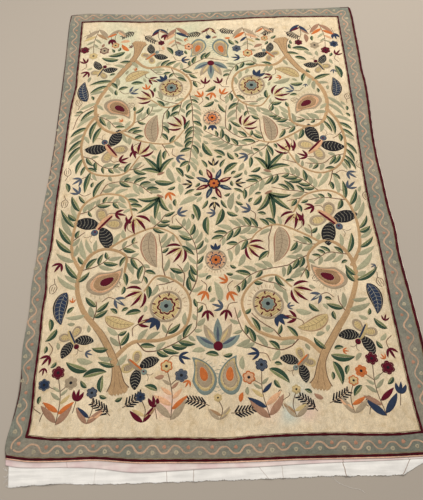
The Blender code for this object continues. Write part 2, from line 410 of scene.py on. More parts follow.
def chainRows(tree, across, along):
    # height, depth of the gaps and one draw for each stitch
    row = calc(tree, "DIVIDE", across, stitchLook["rowPitch"])
    rowNumber = calc(tree, "FLOOR", row)
    rowDraw = addNode(tree, "TexWhiteNoise", {"W": rowNumber}, noise_dimensions="1D").outputs["Value"]
    side = fromMiddle(tree, row)
    run = calc(tree, "ADD", calc(tree, "DIVIDE", along, stitchLook["stitchLength"]), rowDraw)
    run = calc(tree, "ADD", run, calc(tree, "MULTIPLY", side, stitchLook["lead"]))
    pair = addNode(tree, "CombineXYZ", {0: rowNumber, 1: calc(tree, "FLOOR", run)}).outputs[0]
    draw = addNode(tree, "TexWhiteNoise", {"Vector": pair}, noise_dimensions="2D").outputs["Value"]
    linkEnd = calc(tree, "POWER", fromMiddle(tree, run), 3.0)
    rowDome = calc(tree, "SUBTRACT", 1.0, calc(tree, "POWER", side, 2.6))
    linkDome = calc(tree, "SUBTRACT", 1.0, calc(tree, "MULTIPLY", linkEnd, 0.45))
    gap = calc(tree, "MAXIMUM", calc(tree, "POWER", side, 4.0), calc(tree, "MULTIPLY", linkEnd, 0.6))
    return calc(tree, "MULTIPLY", rowDome, linkDome), gap, draw


def strayed(tree, place):
    # rows that wander a little
    noise = cloudy(tree, place, stitchLook["wanderSize"])[1]
    centred = calcPlaces(tree, "SUBTRACT", noise, (0.5, 0.5, 0.5))
    return calcPlaces(tree, "ADD", place, scaled(tree, centred, stitchLook["wander"]))


def rowsAlongPiece(tree):
    # the piece's own coordinates are metres across its rows and along them
    rows = addNode(tree, "UVMap", uv_map="stitchRows").outputs[0]
    across, along = split(tree, strayed(tree, rows))[:2]
    return chainRows(tree, across, along)


def finishWool(tree, surface, colour, stitches):
    height, gap, draw = stitches
    vary = stitchLook["stitchVary"]
    colour = patchy(tree, colour, lieOf(tree), 9.0, 3.0, 0.25, 0.75, 0.93, 1.06)
    colour = scaled(tree, colour, remap(tree, draw, 0.0, 1.0, 1.0 - vary, 1.0 + 0.6 * vary, smooth=False))
    # painted shade: the colour is darkened where the rows and links dip
    colour = scaled(tree, colour, remap(tree, gap, 0.0, 1.0, 1.0, 1.0 - stitchLook["gapShade"], smooth=False))
    cover(tree, surface, colour, height, stitchLook["depth"], stitchLook["strength"])


def motifWool(name, dye):
    # each motif brings its own tone, a little lighter or darker than the dye
    material, tree, surface = emptyFinish(name, 0.94, 0.03)
    tone = addNode(tree, "Attribute", attribute_name="tone").outputs["Fac"]
    finishWool(tree, surface, scaled(tree, dye, tone), rowsAlongPiece(tree))
    return material


# mesh helpers

def addObject(name, data):
    item = bpy.data.objects.new(name, data)
    bpy.context.scene.collection.objects.link(item)
    return item


def gridFaces(rows, columns):
    return [(j * columns + i, j * columns + i + 1, (j + 1) * columns + i + 1, (j + 1) * columns + i)
            for j in range(rows - 1) for i in range(columns - 1)]


def meshPiece(name, verts, faces, materials, uvs=None, tones=None, slots=None):
    mesh = bpy.data.meshes.new(name)
    mesh.from_pydata([tuple(map(float, v)) for v in verts], [], faces)
    item = addObject(name, mesh)
    for material in materials:
        mesh.materials.append(material)
    if slots is not None:
        mesh.polygons.foreach_set("material_index", np.asarray(slots, dtype=np.int32))
    if uvs is not None:
        layer = mesh.uv_layers.new(name="stitchRows")
        corner = np.empty(len(mesh.loops), dtype=np.int32)
        mesh.loops.foreach_get("vertex_index", corner)
        layer.data.foreach_set("uv", np.asarray(uvs, dtype=np.float32)[corner].ravel())
    if tones is not None:
        tone = mesh.attributes.new("tone", "FLOAT", "POINT")
        tone.data.foreach_set("value", np.asarray(tones, dtype=np.float32))
    mesh.shade_smooth()
    return item


# camera, floor and light

view = {
    "place": (-0.0049, -1.0223, 1.504),
    "down": 63.32,          # degrees below level
    "turn": -0.69,
    "roll": -2.06,
    "lens": 36.0,
}


def makeCamera():
    down, turn, roll = (math.radians(view[key]) for key in ("down", "turn", "roll"))
    ahead = Vector((math.sin(turn) * math.cos(down), math.cos(turn) * math.cos(down), -math.sin(down)))
    right = Vector((math.cos(turn), -math.sin(turn), 0.0))
    up = right.cross(ahead)
    rightRolled = math.cos(roll) * right + math.sin(roll) * up
    upRolled = math.cos(roll) * up - math.sin(roll) * right
    camera = addObject("camera", bpy.data.cameras.new("camera"))
    camera.data.lens = view["lens"]
    camera.data.sensor_width = 36.0
    basis = Matrix((rightRolled, upRolled, -ahead)).transposed()
    camera.matrix_world = Matrix.Translation(view["place"]) @ basis.to_4x4()
    bpy.context.scene.camera = camera


studio = {
    "floorColour": linear(163, 154, 143),
    "floorReach": 9.0,
    "floorDrop": 0.0004,    # keeps it just clear of the cloth
    "skyColour": (1.0, 0.975, 0.94, 1.0),
    "skyStrength": 0.485,
    "window": {"place": (1.1, 1.6, 2.5), "size": 1.8, "power": 77.0, "colour": (1.0, 0.95, 0.885)},
    "fill": {"place": (-1.8, 0.0, 2.3), "size": 2.4, "power": 38.0, "colour": (1.0, 0.975, 0.94)},
}


def makeFloor():
    material, _, surface = emptyFinish("pale floor", 0.9, 0.0)
    surface.inputs["Base Color"].default_value = studio["floorColour"]
    surface.inputs["Specular IOR Level"].default_value = 0.1
    reach, drop = studio["floorReach"], -studio["floorDrop"]
    corners = [(-reach, -reach, drop), (reach, -reach, drop), (reach, reach, drop), (-reach, reach, drop)]
    meshPiece("floor", corners, [(0, 1, 2, 3)], [material])


def makeLights():
    world = bpy.data.worlds.new("soft sky")
    world.use_nodes = True
    background = world.node_tree.nodes["Background"]
    background.inputs[0].default_value = studio["skyColour"]
    background.inputs[1].default_value = studio["skyStrength"]
    bpy.context.scene.world = world
    for name in ("window", "fill"):
        look = studio[name]
        light = bpy.data.lights.new(name, "AREA")
        light.shape = "DISK"
        light.size = look["size"]
        light.energy = look["power"]
        light.color = look["colour"]
        lamp = addObject(name, light)
        lamp.location = look["place"]
        lamp.rotation_euler = Vector(look["place"]).to_track_quat("Z", "Y").to_euler()


makeCamera()
makeFloor()
makeLights()
print("camera, floor and light made")


# the field's drawing, laid out in metres on the cloth

random.seed(41)

dyes = {
    "forest": linear(46, 68, 51),
    "olive": linear(122, 127, 87),
    "sage": linear(152, 149, 121),
    "stem": linear(104, 70, 54),
    "branch": linear(182, 148, 108),
    "maroon": linear(88, 12, 32),
    "navy": linear(42, 54, 76),
    "slate": linear(78, 86, 98),
    "sky": linear(122, 134, 126),
    "orange": linear(197, 109, 55),
    "peach": linear(214, 166, 128),
    "mauve": linear(160, 122, 98),
    "tan": linear(160, 128, 94),
    "taupe": linear(166, 148, 122),
    "wheat": linear(198, 174, 124),
    "black": linear(32, 31, 34),
    "chalk": linear(196, 188, 164),
    "umber": linear(96, 74, 58),
    "lineMaroon": linear(70, 3, 17),
    "lineOlive": linear(136, 122, 94),
    "wavePeach": linear(188, 156, 130),
    "dotOrange": linear(186, 138, 112),
    "ringBeige": linear(176, 164, 138),
    "footPeach": linear(228, 182, 156),
}

# how much lighter or darker one leaf is than the next
leafTones = {
    "forest": (0.96, 1.20),
    "sage": (0.95, 1.25),
    "others": (0.92, 1.07),
}

# all stitches of one dye are gathered in one bag and become one mesh
bags = {name: {"points": [], "heights": [], "faces": [], "uvs": [], "tones": [], "count": 0} for name in dyes}
sunk = -0.0004              # height of the edges of a motif, just under the ground's stitches


def runOf(path, axis=0):
    # distance from the start at each point of a path, or of several side by side
    steps = np.linalg.norm(np.diff(path, axis=axis), axis=-1)
    first = np.zeros_like(np.take(steps, [0], axis=axis))
    return np.concatenate([first, np.cumsum(steps, axis=axis)], axis=axis)


def sew(dye, grid, lift=0.0004, dome=0.0005, tone=None, disc=False):
    # grid[j][i] is a point of the cloth, and the stitches run along i; a disc is closed at its middle
    bag = bags[dye]
    grid = np.asarray(grid, dtype=float)
    rows, columns = grid.shape[:2]
    heights = lift + dome * np.sin(np.pi * np.linspace(0.0, 0.5 if disc else 1.0, rows)) ** 0.5
    heights[[0] if disc else [0, -1]] = sunk
    heights = np.repeat(heights, columns)
    uvs = np.stack([runOf(grid), runOf(grid, 1)], axis=-1).reshape(-1, 2) + random.uniform(0.0, 0.5)
    points = grid.reshape(-1, 2)
    first = bag["count"]
    faces = [[first + corner for corner in face] for face in gridFaces(rows, columns)]
    a, b, c = points[0], points[columns // 2], points[-1]
    flip = (b[0] - a[0]) * (c[1] - a[1]) - (b[1] - a[1]) * (c[0] - a[0]) < 0.0
    if disc:
        middle = grid[-1].mean(axis=0)
        flip = np.cross(grid[0, 0] - middle, grid[0, 1] - middle) > 0.0
        points = np.vstack([points, middle])
        heights = np.append(heights, heights[-1])
        uvs = np.vstack([uvs, uvs[-columns] + 0.001])
        last = first + (rows - 1) * columns
        faces += [[last + k, last + k + 1, first + rows * columns] for k in range(columns - 1)]
    if tone is None:
        tone = random.uniform(*leafTones.get(dye, leafTones["others"]))
    bag["faces"] += [face[::-1] for face in faces] if flip else faces
    bag["points"].append(points)
    bag["heights"].append(heights)
    bag["uvs"].append(uvs)
    bag["tones"].append(np.full(len(points), tone))
    bag["count"] += len(points)


# a map of the cells of cloth that are already worked
fieldMap = {"cell": 0.003, "low": (-0.72, -1.02), "cells": (480, 680), "edge": 0.012}
mapX, mapY = np.meshgrid(*(low + fieldMap["cell"] * np.arange(count)
                           for low, count in zip(fieldMap["low"], fieldMap["cells"])), indexing="ij")
worked = ~((mapX > innerLeftX(mapY) + fieldMap["edge"]) & (mapX < innerRightX(mapY) - fieldMap["edge"])
           & (mapY > innerFootY(mapX) + fieldMap["edge"]) & (mapY < innerHeadY(mapX) - fieldMap["edge"]))
stemRoom = worked.copy()    # the same for stems, which keep further apart
discMasks = {}


def window(cells, point, radius):
    # the part of a map round a point, and the disc that lies in it
    reach = int(radius / fieldMap["cell"]) + 1
    if radius not in discMasks:
        step = np.arange(-reach, reach + 1) * fieldMap["cell"]
        discMasks[radius] = step[:, None] ** 2 + step[None, :] ** 2 <= radius ** 2
    i, j = (int(round((place - low) / fieldMap["cell"])) for place, low in zip(point, fieldMap["low"]))
    i = min(max(i, reach), fieldMap["cells"][0] - reach - 1)
    j = min(max(j, reach), fieldMap["cells"][1] - reach - 1)
    return cells[i - reach:i + reach + 1, j - reach:j + reach + 1], discMasks[radius]


def claim(points, radius=0.0034, cells=worked):
    for point in points:
        part, disc = window(cells, point, radius)
        part |= disc


def isOpen(point, radius, cells=worked):
    part, disc = window(cells, point, radius)
    return not (part & disc).any()


# lines, bands and rounds of stitches

def readPath(path, places, at):
    # points of a path at other places than its own
    return np.stack([np.interp(at, places, path[:, axis]) for axis in (0, 1)], axis=-1)


def evenPath(path, count):
    run = runOf(path)
    return readPath(path, run, np.linspace(0.0, run[-1], count))


def smoothPath(points, step):
    # a rounded line through a few points, with an even step
    points = np.asarray(points, dtype=float)
    ends = np.vstack([2 * points[0] - points[1], points, 2 * points[-1] - points[-2]])
    fine = []
    for k in range(len(points) - 1):
        p0, p1, p2, p3 = ends[k:k + 4]
        t = np.linspace(0.0, 1.0, 24, endpoint=False)[:, None]
        fine.append(0.5 * (2 * p1 + (p2 - p0) * t + (2 * p0 - 5 * p1 + 4 * p2 - p3) * t ** 2
                           + (3 * p1 - p0 - 3 * p2 + p3) * t ** 3))
    fine = np.vstack(fine + [points[-1:]])
    return evenPath(fine, max(3, int(round(runOf(fine)[-1] / step)) + 1))


def sideways(path):
    # unit normals, to the left of the way the path runs
    tangent = np.gradient(path, axis=0)
    tangent /= np.maximum(np.linalg.norm(tangent, axis=1), 1e-9)[:, None]
    return np.column_stack([-tangent[:, 1], tangent[:, 0]])


def band(dye, path, low, high, shares=(0.0, 0.15, 0.5, 0.85, 1.0), **kind):
    # fills between two offsets of a path
    path = np.asarray(path, dtype=float)
    normal = sideways(path)
    low = np.broadcast_to(low, len(path))
    high = np.broadcast_to(high, len(path))

    def offset(share):
        return path + normal * (low + (high - low) * share)[:, None]

    sew(dye, [offset(share) for share in shares], **kind)
    for share in np.linspace(0.0, 1.0, 2 + int(np.max(np.abs(high - low)) / 0.006)):
        claim(offset(share))


def line(dye, points, halfWidth=0.0015, step=0.005, taper=0.0, **kind):
    path = smoothPath(points, step)
    width = halfWidth * (1.0 - taper * np.linspace(0.0, 1.0, len(path)))
    band(dye, path, -width, width, shares=(0.0, 0.5, 1.0), **kind)
    return path


def aim(heading):
    return np.array((math.cos(heading), math.sin(heading)))


def away(start, heading, distance):
    # the point at a distance from another
    return np.array(start) + aim(heading) * distance


def straight(start, heading, length, count=7):
    return np.array(start) + aim(heading) * np.linspace(0.0, length, count)[:, None]


def bentSpine(base, heading, length, bend, count=9):
    turns = heading - bend * 0.5 + bend * np.arange(count - 1) / (count - 1)
    steps = np.column_stack([np.cos(turns), np.sin(turns)]) * length / (count - 1)
    return np.vstack([[base], np.array(base) + np.cumsum(steps, axis=0)])


def leafHalf(count, width, belly=0.85):
    # half width along a leaf; belly moves the widest place
    return 0.5 * width * np.sin(np.pi * np.linspace(0.0, 1.0, count) ** belly) ** 0.8 + 0.0001


def leaf(base, heading, length, width, dye, bend=0.4, **kind):
    half = leafHalf(9, width)
    band(dye, bentSpine(base, heading, length, bend), -half, half, **kind)


def splitLeaf(base, heading, length, width, bend=0.4):
    # dark along the outer side of its bend, pale inside
    count = 9 if length < 0.07 else 15
    spine = bentSpine(base, heading, length, bend, count)
    half = leafHalf(count, width) * (-1.0 if bend > 0 else 1.0)
    shares = (0.0, 0.2, 0.8, 1.0)
    band("forest", spine, -0.20 * half, half, shares=shares)
    band("olive", spine, -0.14 * half, -0.95 * half, shares=shares)


def pod(dye, spine, reach, inner=0.0, outer=1.0, around=28, **kind):
    # a round stretched along a spine, or a ring of it; reach gives its half width from -1 to 1
    spine = np.asarray(spine, dtype=float)
    normal = sideways(spine)
    share = np.linspace(-1.0, 1.0, len(spine))
    angles = np.linspace(0.0, 2.0 * math.pi, around + 1)
    steps = (1.0, 0.86, 0.5, 0.14, 0.0) if inner > 0.0 else (1.0, 0.9, 0.7, 0.35)
    grid = []
    for ring in inner + (outer - inner) * np.array(steps):
        at, across = ring * np.cos(angles), ring * np.sin(angles)
        width = np.array([reach(a) for a in at]) * across
        grid.append(readPath(spine, share, at) + width[:, None] * readPath(normal, share, at))
    sew(dye, grid, disc=inner == 0.0, **kind)
    for ring in grid:
        claim(ring[::2], 0.006)


def hatch(dye, spine, reach, places, inner=0.8, bow=0.004, halfWidth=0.0012):
    # bowed lines sewn across a round
    normal = sideways(spine)
    share = np.linspace(-1.0, 1.0, len(spine))
    for at in places:
        middle, side = readPath(spine, share, at), readPath(normal, share, at)
        half = reach(at) * math.sqrt(1.0 - at * at) * inner
        bowed = middle + np.array((side[1], -side[0])) * bow
        line(dye, [middle - side * half, bowed, middle + side * half], halfWidth, lift=0.0011, dome=0.0003)


# the motifs, sized by one length; hand is 1, or -1 for a mirrored one, and makes no odds to an even one

def rosette(centre, size, petalDye, rimDye, eyeDye="black", petals=6, turn=0.0, lift=0.0005):
    angles = np.linspace(0.0, 2.0 * math.pi, 49)
    lobes = (0.76 + 0.30 * np.abs(np.cos(0.5 * petals * (angles - turn))) ** 0.6)[:, None]
    around = np.column_stack([np.cos(angles), np.sin(angles)]) * size
    for dye, rings, higher in ((rimDye, (1.0, 0.96, 0.88, 0.80, 0.75), 0.0),
                               (petalDye, (0.78, 0.70, 0.50, 0.30), 0.0),
                               (eyeDye, (0.28, 0.22, 0.12), 0.0006)):
        grid = [np.array(centre) + around * ring * (lobes if ring > 0.4 else 1.0) for ring in rings]
        sew(dye, grid, lift=lift + higher, disc=rings[0] < 1.0)
    claim(np.array(centre) + around[::3] * 0.9, 0.006)
    claim([centre], size)


def fern(base, heading, length, dye="black", strokes=6):
    path = bentSpine(base, heading, length, 0.4, strokes + 2)
    line("umber", path, 0.0018, step=0.006)
    for k in range(1, strokes + 1):
        reach = length * 0.34 * (1.0 - 0.07 * k)
        for side in (-1, 1):
            tip = heading + side * 0.66
            start = away(path[k], tip, 0.003)
            line(dye, [start, away(start, tip + side * 0.10, reach)], 0.0044, step=0.004, taper=0.35)


def lantern(base, heading, size, hand=1):
    # an outlined bud with two lines inside
    spine = straight(base, heading, size, 5)
    normal = sideways(spine)
    half = size * np.array((0.04, 0.30, 0.34, 0.28, 0.08))[:, None]
    for side in (-1, 1):
        line("umber", spine + side * normal * half, 0.0017, step=0.004)
        line("umber", spine[1:4] + side * normal[1:4] * size * 0.11, 0.0014, step=0.004)
    line("umber", [base, away(base, heading + 0.5 * hand, -0.020)], 0.0016, step=0.004)
    claim(spine, size * 0.3)


def tendril(base, heading, length, curl):
    turn, points = heading, [np.array(base, dtype=float)]
    for share in np.linspace(0.0, 1.0, 25):
        points.append(points[-1] + aim(turn) * length / 25.0 * (1.0 - 0.55 * share))
        turn += curl * (0.46 * share ** 2.2 - 0.03)
    line("umber", points, 0.0015, step=0.004)


def forkBud(base, heading, size, dye="maroon", heart=None):
    for side, reach in ((-0.62, 0.85), (0.0, 1.0), (0.62, 0.85)):
        leaf(base, heading + side, size * reach, size * 0.27, dye, bend=-side * 0.9)
    if heart:
        leaf(base, heading, size * 0.6, size * 0.16, heart, bend=0.0, lift=0.0009)


def bellBud(base, heading, size, hand=1, rim="maroon", silk="wheat"):
    # a bell of narrow petals with pale silk between them
    for side in (-1.0, -0.36, 0.36, 1.0):
        start = away(base, heading + side * 1.2, size * 0.12)
        length = size * (1.0 - 0.10 * abs(side))
        leaf(start, heading + side * 0.62, length, size * 0.18, rim, bend=-side * 1.3)
    for side in (-0.66, -0.16, 0.16, 0.66):
        start = away(base, heading, size * 0.10)
        leaf(start, heading + side, size * 0.62, size * 0.10, silk, bend=-side * 0.8)


def tulip(base, heading, size, dye):
    for side in (-0.42, 0.42):
        leaf(base, heading + side, size, size * 0.42, dye, bend=-side * 1.6)
    leaf(away(base, heading, size * 0.15), heading, size * 0.9, size * 0.30, dye, bend=0.0, lift=0.0008)


def butterfly(centre, heading, size, hand=1, coat="maroon", belly="peach", rear="taupe", head="slate"):
    def hindWidth(at):
        return size * (0.135 + 0.03 * at)

    def foreWidth(at):
        return size * (0.165 - 0.07 * at * at)

    for side in (-1.0, 1.0):
        root = away(centre, heading, -size * 0.06)
        spine = bentSpine(root, heading + side * 2.15, size * 0.42, side * 0.4, 11)
        pod(rear, spine, hindWidth, 0.62, 1.0)
        pod("wheat" if rear == "taupe" else "taupe", spine, hindWidth, 0.0, 0.64)
        hatch("umber", spine, hindWidth, (-0.3, 0.0, 0.3, 0.6), 0.5, 0.003 * side)
        # the pointed fore wing has pale rows
        root = away(centre, heading, size * 0.10)
        spine = bentSpine(root, heading + side * 1.02, size * 0.64, -side * 0.6, 13)
        pod("black", spine, foreWidth, around=34)
        hatch("chalk", spine, foreWidth, np.linspace(-0.68, 0.80, 7), 0.76, 0.006 * side)
    body = bentSpine(away(centre, heading, -size * 0.34), heading, size * 0.58, 0.3 * hand, 11)
    back = hand * size * 0.074 * np.sqrt(1.0 - np.linspace(-0.8, 0.8, 9) ** 2)
    pod(belly, body, lambda at: size * 0.078, around=28, lift=0.0012)
    band(coat, body[1:-1], 0.0, back, lift=0.0018)
    top = straight(away(centre, heading, size * 0.20), heading, size * 0.17, 5)
    eye = straight(top[1], heading, size * 0.05, 3)
    pod(head, top, lambda at: size * 0.085, around=22, lift=0.0016)
    pod("maroon" if head != "maroon" else "black", eye, lambda at: size * 0.025, around=12, lift=0.0024)
    for side in (-1.0, 1.0):
        # feelers
        points = [top[-1], away(top[-1], heading + side * 0.35, size * 0.12),
                  away(top[-1], heading + side * 0.75, size * 0.20)]
        line("umber", points, 0.0011)


def paisley(root, heading, size, hand=1, coat="taupe", lining="peach", ground="tan", heart="maroon"):
    def width(at):
        return size * (0.32 - 0.26 * max(0.0, (at + 0.35) / 1.35) ** 1.15)

    spine = bentSpine(root, heading, size, hand * 1.35, 15)
    pod(coat, spine, width, 0.80, 1.0, around=48)
    pod(lining, spine, width, 0.66, 0.81, around=44)
    pod(ground, spine, width, 0.34, 0.67, around=40)
    pod(heart, spine, width, 0.0, 0.36, around=26)
    normal = sideways(spine)
    for k in range(2, 12):
        at = -1.0 + 2.0 * k / 14.0
        rise = width(at) * math.sqrt(1.0 - at * at)
        for ring in (-0.52, 0.52):
            # scallops of umber thread on the ground colour
            middle = spine[k] + normal[k] * rise * ring
            tangent = np.array((normal[k][1], -normal[k][0])) * size * 0.024
            crest = middle + normal[k] * size * 0.02 * np.sign(ring)
            scallop = [middle - tangent, crest, middle + tangent]
            line("umber", scallop, 0.0008, step=0.004, lift=0.0012, dome=0.0003)
        # a comb of strokes along the back
        edge = spine[k] - normal[k] * hand * rise * 1.04
        line(coat, [edge, edge - normal[k] * hand * size * 0.075], 0.0013, step=0.004, taper=0.4)


def pomegranate(centre, heading, size, hand=1, coat="taupe", ring="maroon", seeds="wheat", heart="sky"):
    def width(at):
        return size * (0.47 + 0.03 * at)

    spine = straight(away(centre, heading, -size * 0.5), heading, size, 11)
    pod(coat, spine, width, 0.84, 1.0, around=44)
    pod(seeds, spine, width, 0.0, 0.85, around=40)
    hatch("umber", spine, width, (-0.72, -0.60, -0.48, 0.48, 0.60, 0.72), 0.72, size * 0.02)
    rosette(centre, size * 0.27, heart, ring, petals=8, turn=heading, lift=0.0011)
    for k in range(8):
        turn = heading + (k + 0.5) * math.pi / 4.0
        leaf(away(centre, turn, size * 0.30), turn, size * 0.13, size * 0.05, ring, bend=0.0, lift=0.0011)
    crown = away(centre, heading, size * 0.46)
    for side in (-0.62, 0.0, 0.62):
        leaf(crown, heading + side, size * 0.36, size * 0.16, "navy", bend=-side * 0.8)
    for k in range(10):
        turn = heading + math.pi + (k - 4.5) * 0.22
        line("mauve", [away(centre, turn, size * 0.52), away(centre, turn, size * 0.62)], 0.0013, step=0.004)


def plume(base, heading, length, hand=1, coat="taupe", ground="wheat", veins="umber"):
    # a large curved leaf with a rim and veins
    spine = bentSpine(base, heading, length, hand * 1.0, 19)
    half = leafHalf(19, length * 0.42, 0.78)
    band(ground, spine, -0.78 * half, 0.78 * half, shares=(0.0, 0.1, 0.5, 0.9, 1.0))
    band(coat, spine, 0.72 * half, half, shares=(0.0, 0.5, 1.0), lift=0.0006)
    band(coat, spine, -half, -0.72 * half, shares=(0.0, 0.5, 1.0), lift=0.0006)
    line(veins, spine[1:-1], 0.0012, lift=0.0012)
    normal = sideways(spine)
    for k in range(2, 16, 2):
        for side in (-1, 1):
            tip = spine[k + 1] + side * normal[k + 1] * half[k + 1] * 0.66
            middle = 0.5 * (spine[k] + tip) - side * normal[k] * 0.001
            line(veins, [spine[k], middle, tip], 0.0011, lift=0.0011, dome=0.0003)
    for side in (-1, 1):
        claim(spine + side * 0.5 * normal * half[:, None], 0.012)


def aloe(base, heading, size, hand=1):
    # a tuft of broad blades that curl outwards, on a small brown root
    for side, reach in ((-1.0, 0.80), (-0.38, 1.0), (0.30, 0.92), (0.95, 0.72)):
        splitLeaf(base, heading + side * 1.05, size * reach, size * 0.20, side * 1.1)
    root = straight(away(base, heading + 1.57, -size * 0.13), heading + 1.57, size * 0.26, 3)
    pod("mauve", root, lambda at: size * 0.05, around=16, lift=0.0010)


def lotus(base, heading, size):
    for side in (-2, 2, -1, 1, 0):
        dye, core = (("taupe", "wheat"), ("sky", "slate"))[side % 2 == 0]
        turn = heading + side * 0.52
        leaf(base, turn, size * (1.0 - 0.07 * abs(side)), size * 0.34, dye, bend=-side * 0.26)
        inside = away(base, turn, size * 0.16)
        leaf(inside, turn, size * 0.55, size * 0.12, core, bend=-side * 0.15, lift=0.0010)
    heart = straight(away(base, heading, -size * 0.14), heading, size * 0.34, 5)
    pod("maroon", heart, lambda at: size * 0.17, around=22, lift=0.0012)


# thick branches of one quarter, out to the side and towards the end, with their half widths at the root,
# a tenth of the way on and at the tip
branches = [
    {"points": [(0.300, 0.722), (0.314, 0.645), (0.362, 0.560), (0.424, 0.475), (0.452, 0.375),
                (0.432, 0.285), (0.372, 0.248), (0.306, 0.282), (0.300, 0.348)],
     "widths": (0.024, 0.012, 0.0045)},
    {"points": [(0.322, 0.632), (0.262, 0.580), (0.180, 0.578), (0.105, 0.535), (0.078, 0.455),
                (0.115, 0.385), (0.185, 0.365), (0.238, 0.408)],
     "widths": (0.009, 0.007, 0.003)},
    {"points": [(0.446, 0.340), (0.484, 0.265), (0.490, 0.170), (0.462, 0.080), (0.395, 0.040),
                (0.318, 0.060), (0.280, 0.128)],
     "widths": (0.008, 0.0065, 0.003)},
    {"points": [(0.358, 0.250), (0.290, 0.208), (0.215, 0.182), (0.150, 0.198), (0.108, 0.255)],
     "widths": (0.0055, 0.0045, 0.0025)},
]

# motif, out to the side, towards the end, heading in degrees, size, dyes
largeMotifs = [
    (butterfly, 0.388, 0.160, 50, 0.150, {}),
    (butterfly, 0.446, 0.570, 115, 0.104, {"coat": "navy", "belly": "wheat", "head": "maroon"}),
    (butterfly, 0.246, 0.648, 140, 0.102,
     {"coat": "orange", "belly": "taupe", "head": "sky", "rear": "wheat"}),
    (paisley, 0.430, 0.380, 212, 0.140, {}),
    (paisley, 0.054, 0.738, -78, 0.120,
     {"coat": "sky", "lining": "wheat", "ground": "taupe", "heart": "orange"}),
    (pomegranate, 0.160, 0.468, 60, 0.108, {}),
    (plume, 0.490, 0.404, 82, 0.108, {"coat": "black", "ground": "navy", "veins": "chalk"}),
    (plume, 0.218, 0.190, 96, 0.135, {"coat": "mauve", "ground": "taupe", "veins": "umber"}),
    (plume, 0.350, 0.500, 160, 0.105, {"coat": "tan", "ground": "wheat", "veins": "umber"}),
    (aloe, 0.195, 0.046, 66, 0.110, {}),
    (lantern, 0.532, 0.050, 85, 0.034, {}),
    (lantern, 0.524, 0.385, 70, 0.034, {}),
    (lantern, 0.338, 0.375, 150, 0.032, {}),
    (bellBud, 0.282, 0.130, 115, 0.066, {}),
    (bellBud, 0.110, 0.258, 40, 0.062, {}),
    (bellBud, 0.238, 0.410, 30, 0.062, {}),
]

# forked buds: dye, dye of the heart, then as above
smallMotifs = [
    ("slate", "chalk", 0.330, 0.440, 150, 0.042),
    ("maroon", None, 0.345, 0.110, 160, 0.040),
    ("slate", None, 0.130, 0.120, 200, 0.040),
    ("orange", None, 0.040, 0.420, 60, 0.038),
    ("slate", None, 0.480, 0.030, -40, 0.040),
    ("maroon", "wheat", 0.250, 0.520, 200, 0.042),
    ("maroon", None, 0.516, 0.620, 60, 0.036),
    ("maroon", None, 0.030, 0.480, 100, 0.038),
    ("maroon", None, 0.300, 0.160, 250, 0.038),
    ("navy", None, 0.120, 0.620, 170, 0.038),
]

quarters = ((1, -1), (-1, -1), (1, 1), (-1, 1))


def fourTimes(x, y, heading):
    # each quarter in turn: place, heading and hand, none of them quite alike
    for sideX, sideY in quarters:
        turn = math.radians(heading) + random.uniform(-0.12, 0.12)
        if sideX < 0:
            turn = math.pi - turn
        if sideY < 0:
            turn = -turn
        place = (sideX * x + random.uniform(-0.006, 0.006), sideY * y + random.uniform(-0.006, 0.006))
        yield place, turn, sideX * sideY


def dressTrunk(path, half):
    # brown bark lines and spread roots at the foot of a trunk
    normal = sideways(path)
    for share, reach in ((-0.93, 34), (-0.3, 12), (0.35, 15), (0.93, 37)):
        bark = path[:reach:3] + normal[:reach:3] * (share * half[:reach:3])[:, None]
        line("umber", bark, 0.0016, lift=0.0012, dome=0.0003, taper=0.6)
    down = math.atan2(*(path[0] - path[2])[::-1])
    for spread in (-0.84, -0.42, 0.0, 0.42, 0.84):
        start = path[1] + normal[1] * half[1] * spread
        leaf(start, down + spread * 0.5, 0.023, 0.015, "branch", bend=0.0)


def drawBranches():
    paths = []
    for look in branches:
        isTrunk = look["widths"][0] > 0.02
        for side in quarters:
            points = np.array(look["points"]) * side
            points[2:] += np.random.default_rng(len(paths)).uniform(-0.007, 0.007, (len(points) - 2, 2))
            path = smoothPath(points, 0.006)
            half = np.interp(np.linspace(0.0, 1.0, len(path)), (0.0, 0.10, 1.0), look["widths"])
            if isTrunk:
                half[:6] *= (1.50, 1.34, 1.21, 1.12, 1.06, 1.02)  # it spreads at its foot
            band("branch", path, -half, half, tone=random.uniform(0.95, 1.03))
            if isTrunk:
                dressTrunk(path, half)
            claim(path, 0.018, stemRoom)
            paths.append(path)
    return paths


def drawMotifs():
    for motif, x, y, heading, size, look in largeMotifs:
        for place, turn, hand in fourTimes(x, y, heading):
            motif(place, turn, size * random.uniform(0.95, 1.06), hand, **look)
    for dye, heart, x, y, heading, size in smallMotifs:
        for place, turn, hand in fourTimes(x, y, heading):
            forkBud(place, turn, size, dye, heart)
            stalk = [place, away(place, turn + 0.3 * hand, -0.022), away(place, turn + 0.8 * hand, -0.042)]
            line("stem", stalk, 0.0018)
    for sideY in (-1, 1):
        lotus((0.0, sideY * 0.600), -sideY * 1.5708, 0.092)
        pomegranate((0.0, sideY * 0.305), -sideY * 1.5708, 0.078, ring="navy", seeds="peach", heart="orange")


def drawMiddle():
    # a star of eight petals with a rosette, and four forked buds round it
    for k in range(8):
        turn = math.pi / 8 + k * math.pi / 4
        leaf(aim(turn) * 0.018, turn, 0.052, 0.020, ("maroon", "navy")[k % 2], bend=0.2)
        leaf(aim(turn) * 0.034, turn, 0.026, 0.007, ("peach", "sky")[k % 2], bend=0.2, lift=0.0010)
    rosette((0.0, 0.0), 0.023, "orange", "black", "maroon", 8, lift=0.0012)
    for k in range(4):
        turn = k * math.pi / 2
        forkBud(aim(turn) * 0.078, turn, 0.038, "black", "wheat")
        for side in (-0.55, 0.55):
            splitLeaf(aim(turn + side * 0.6) * 0.074, turn + side, 0.042, 0.014, side)


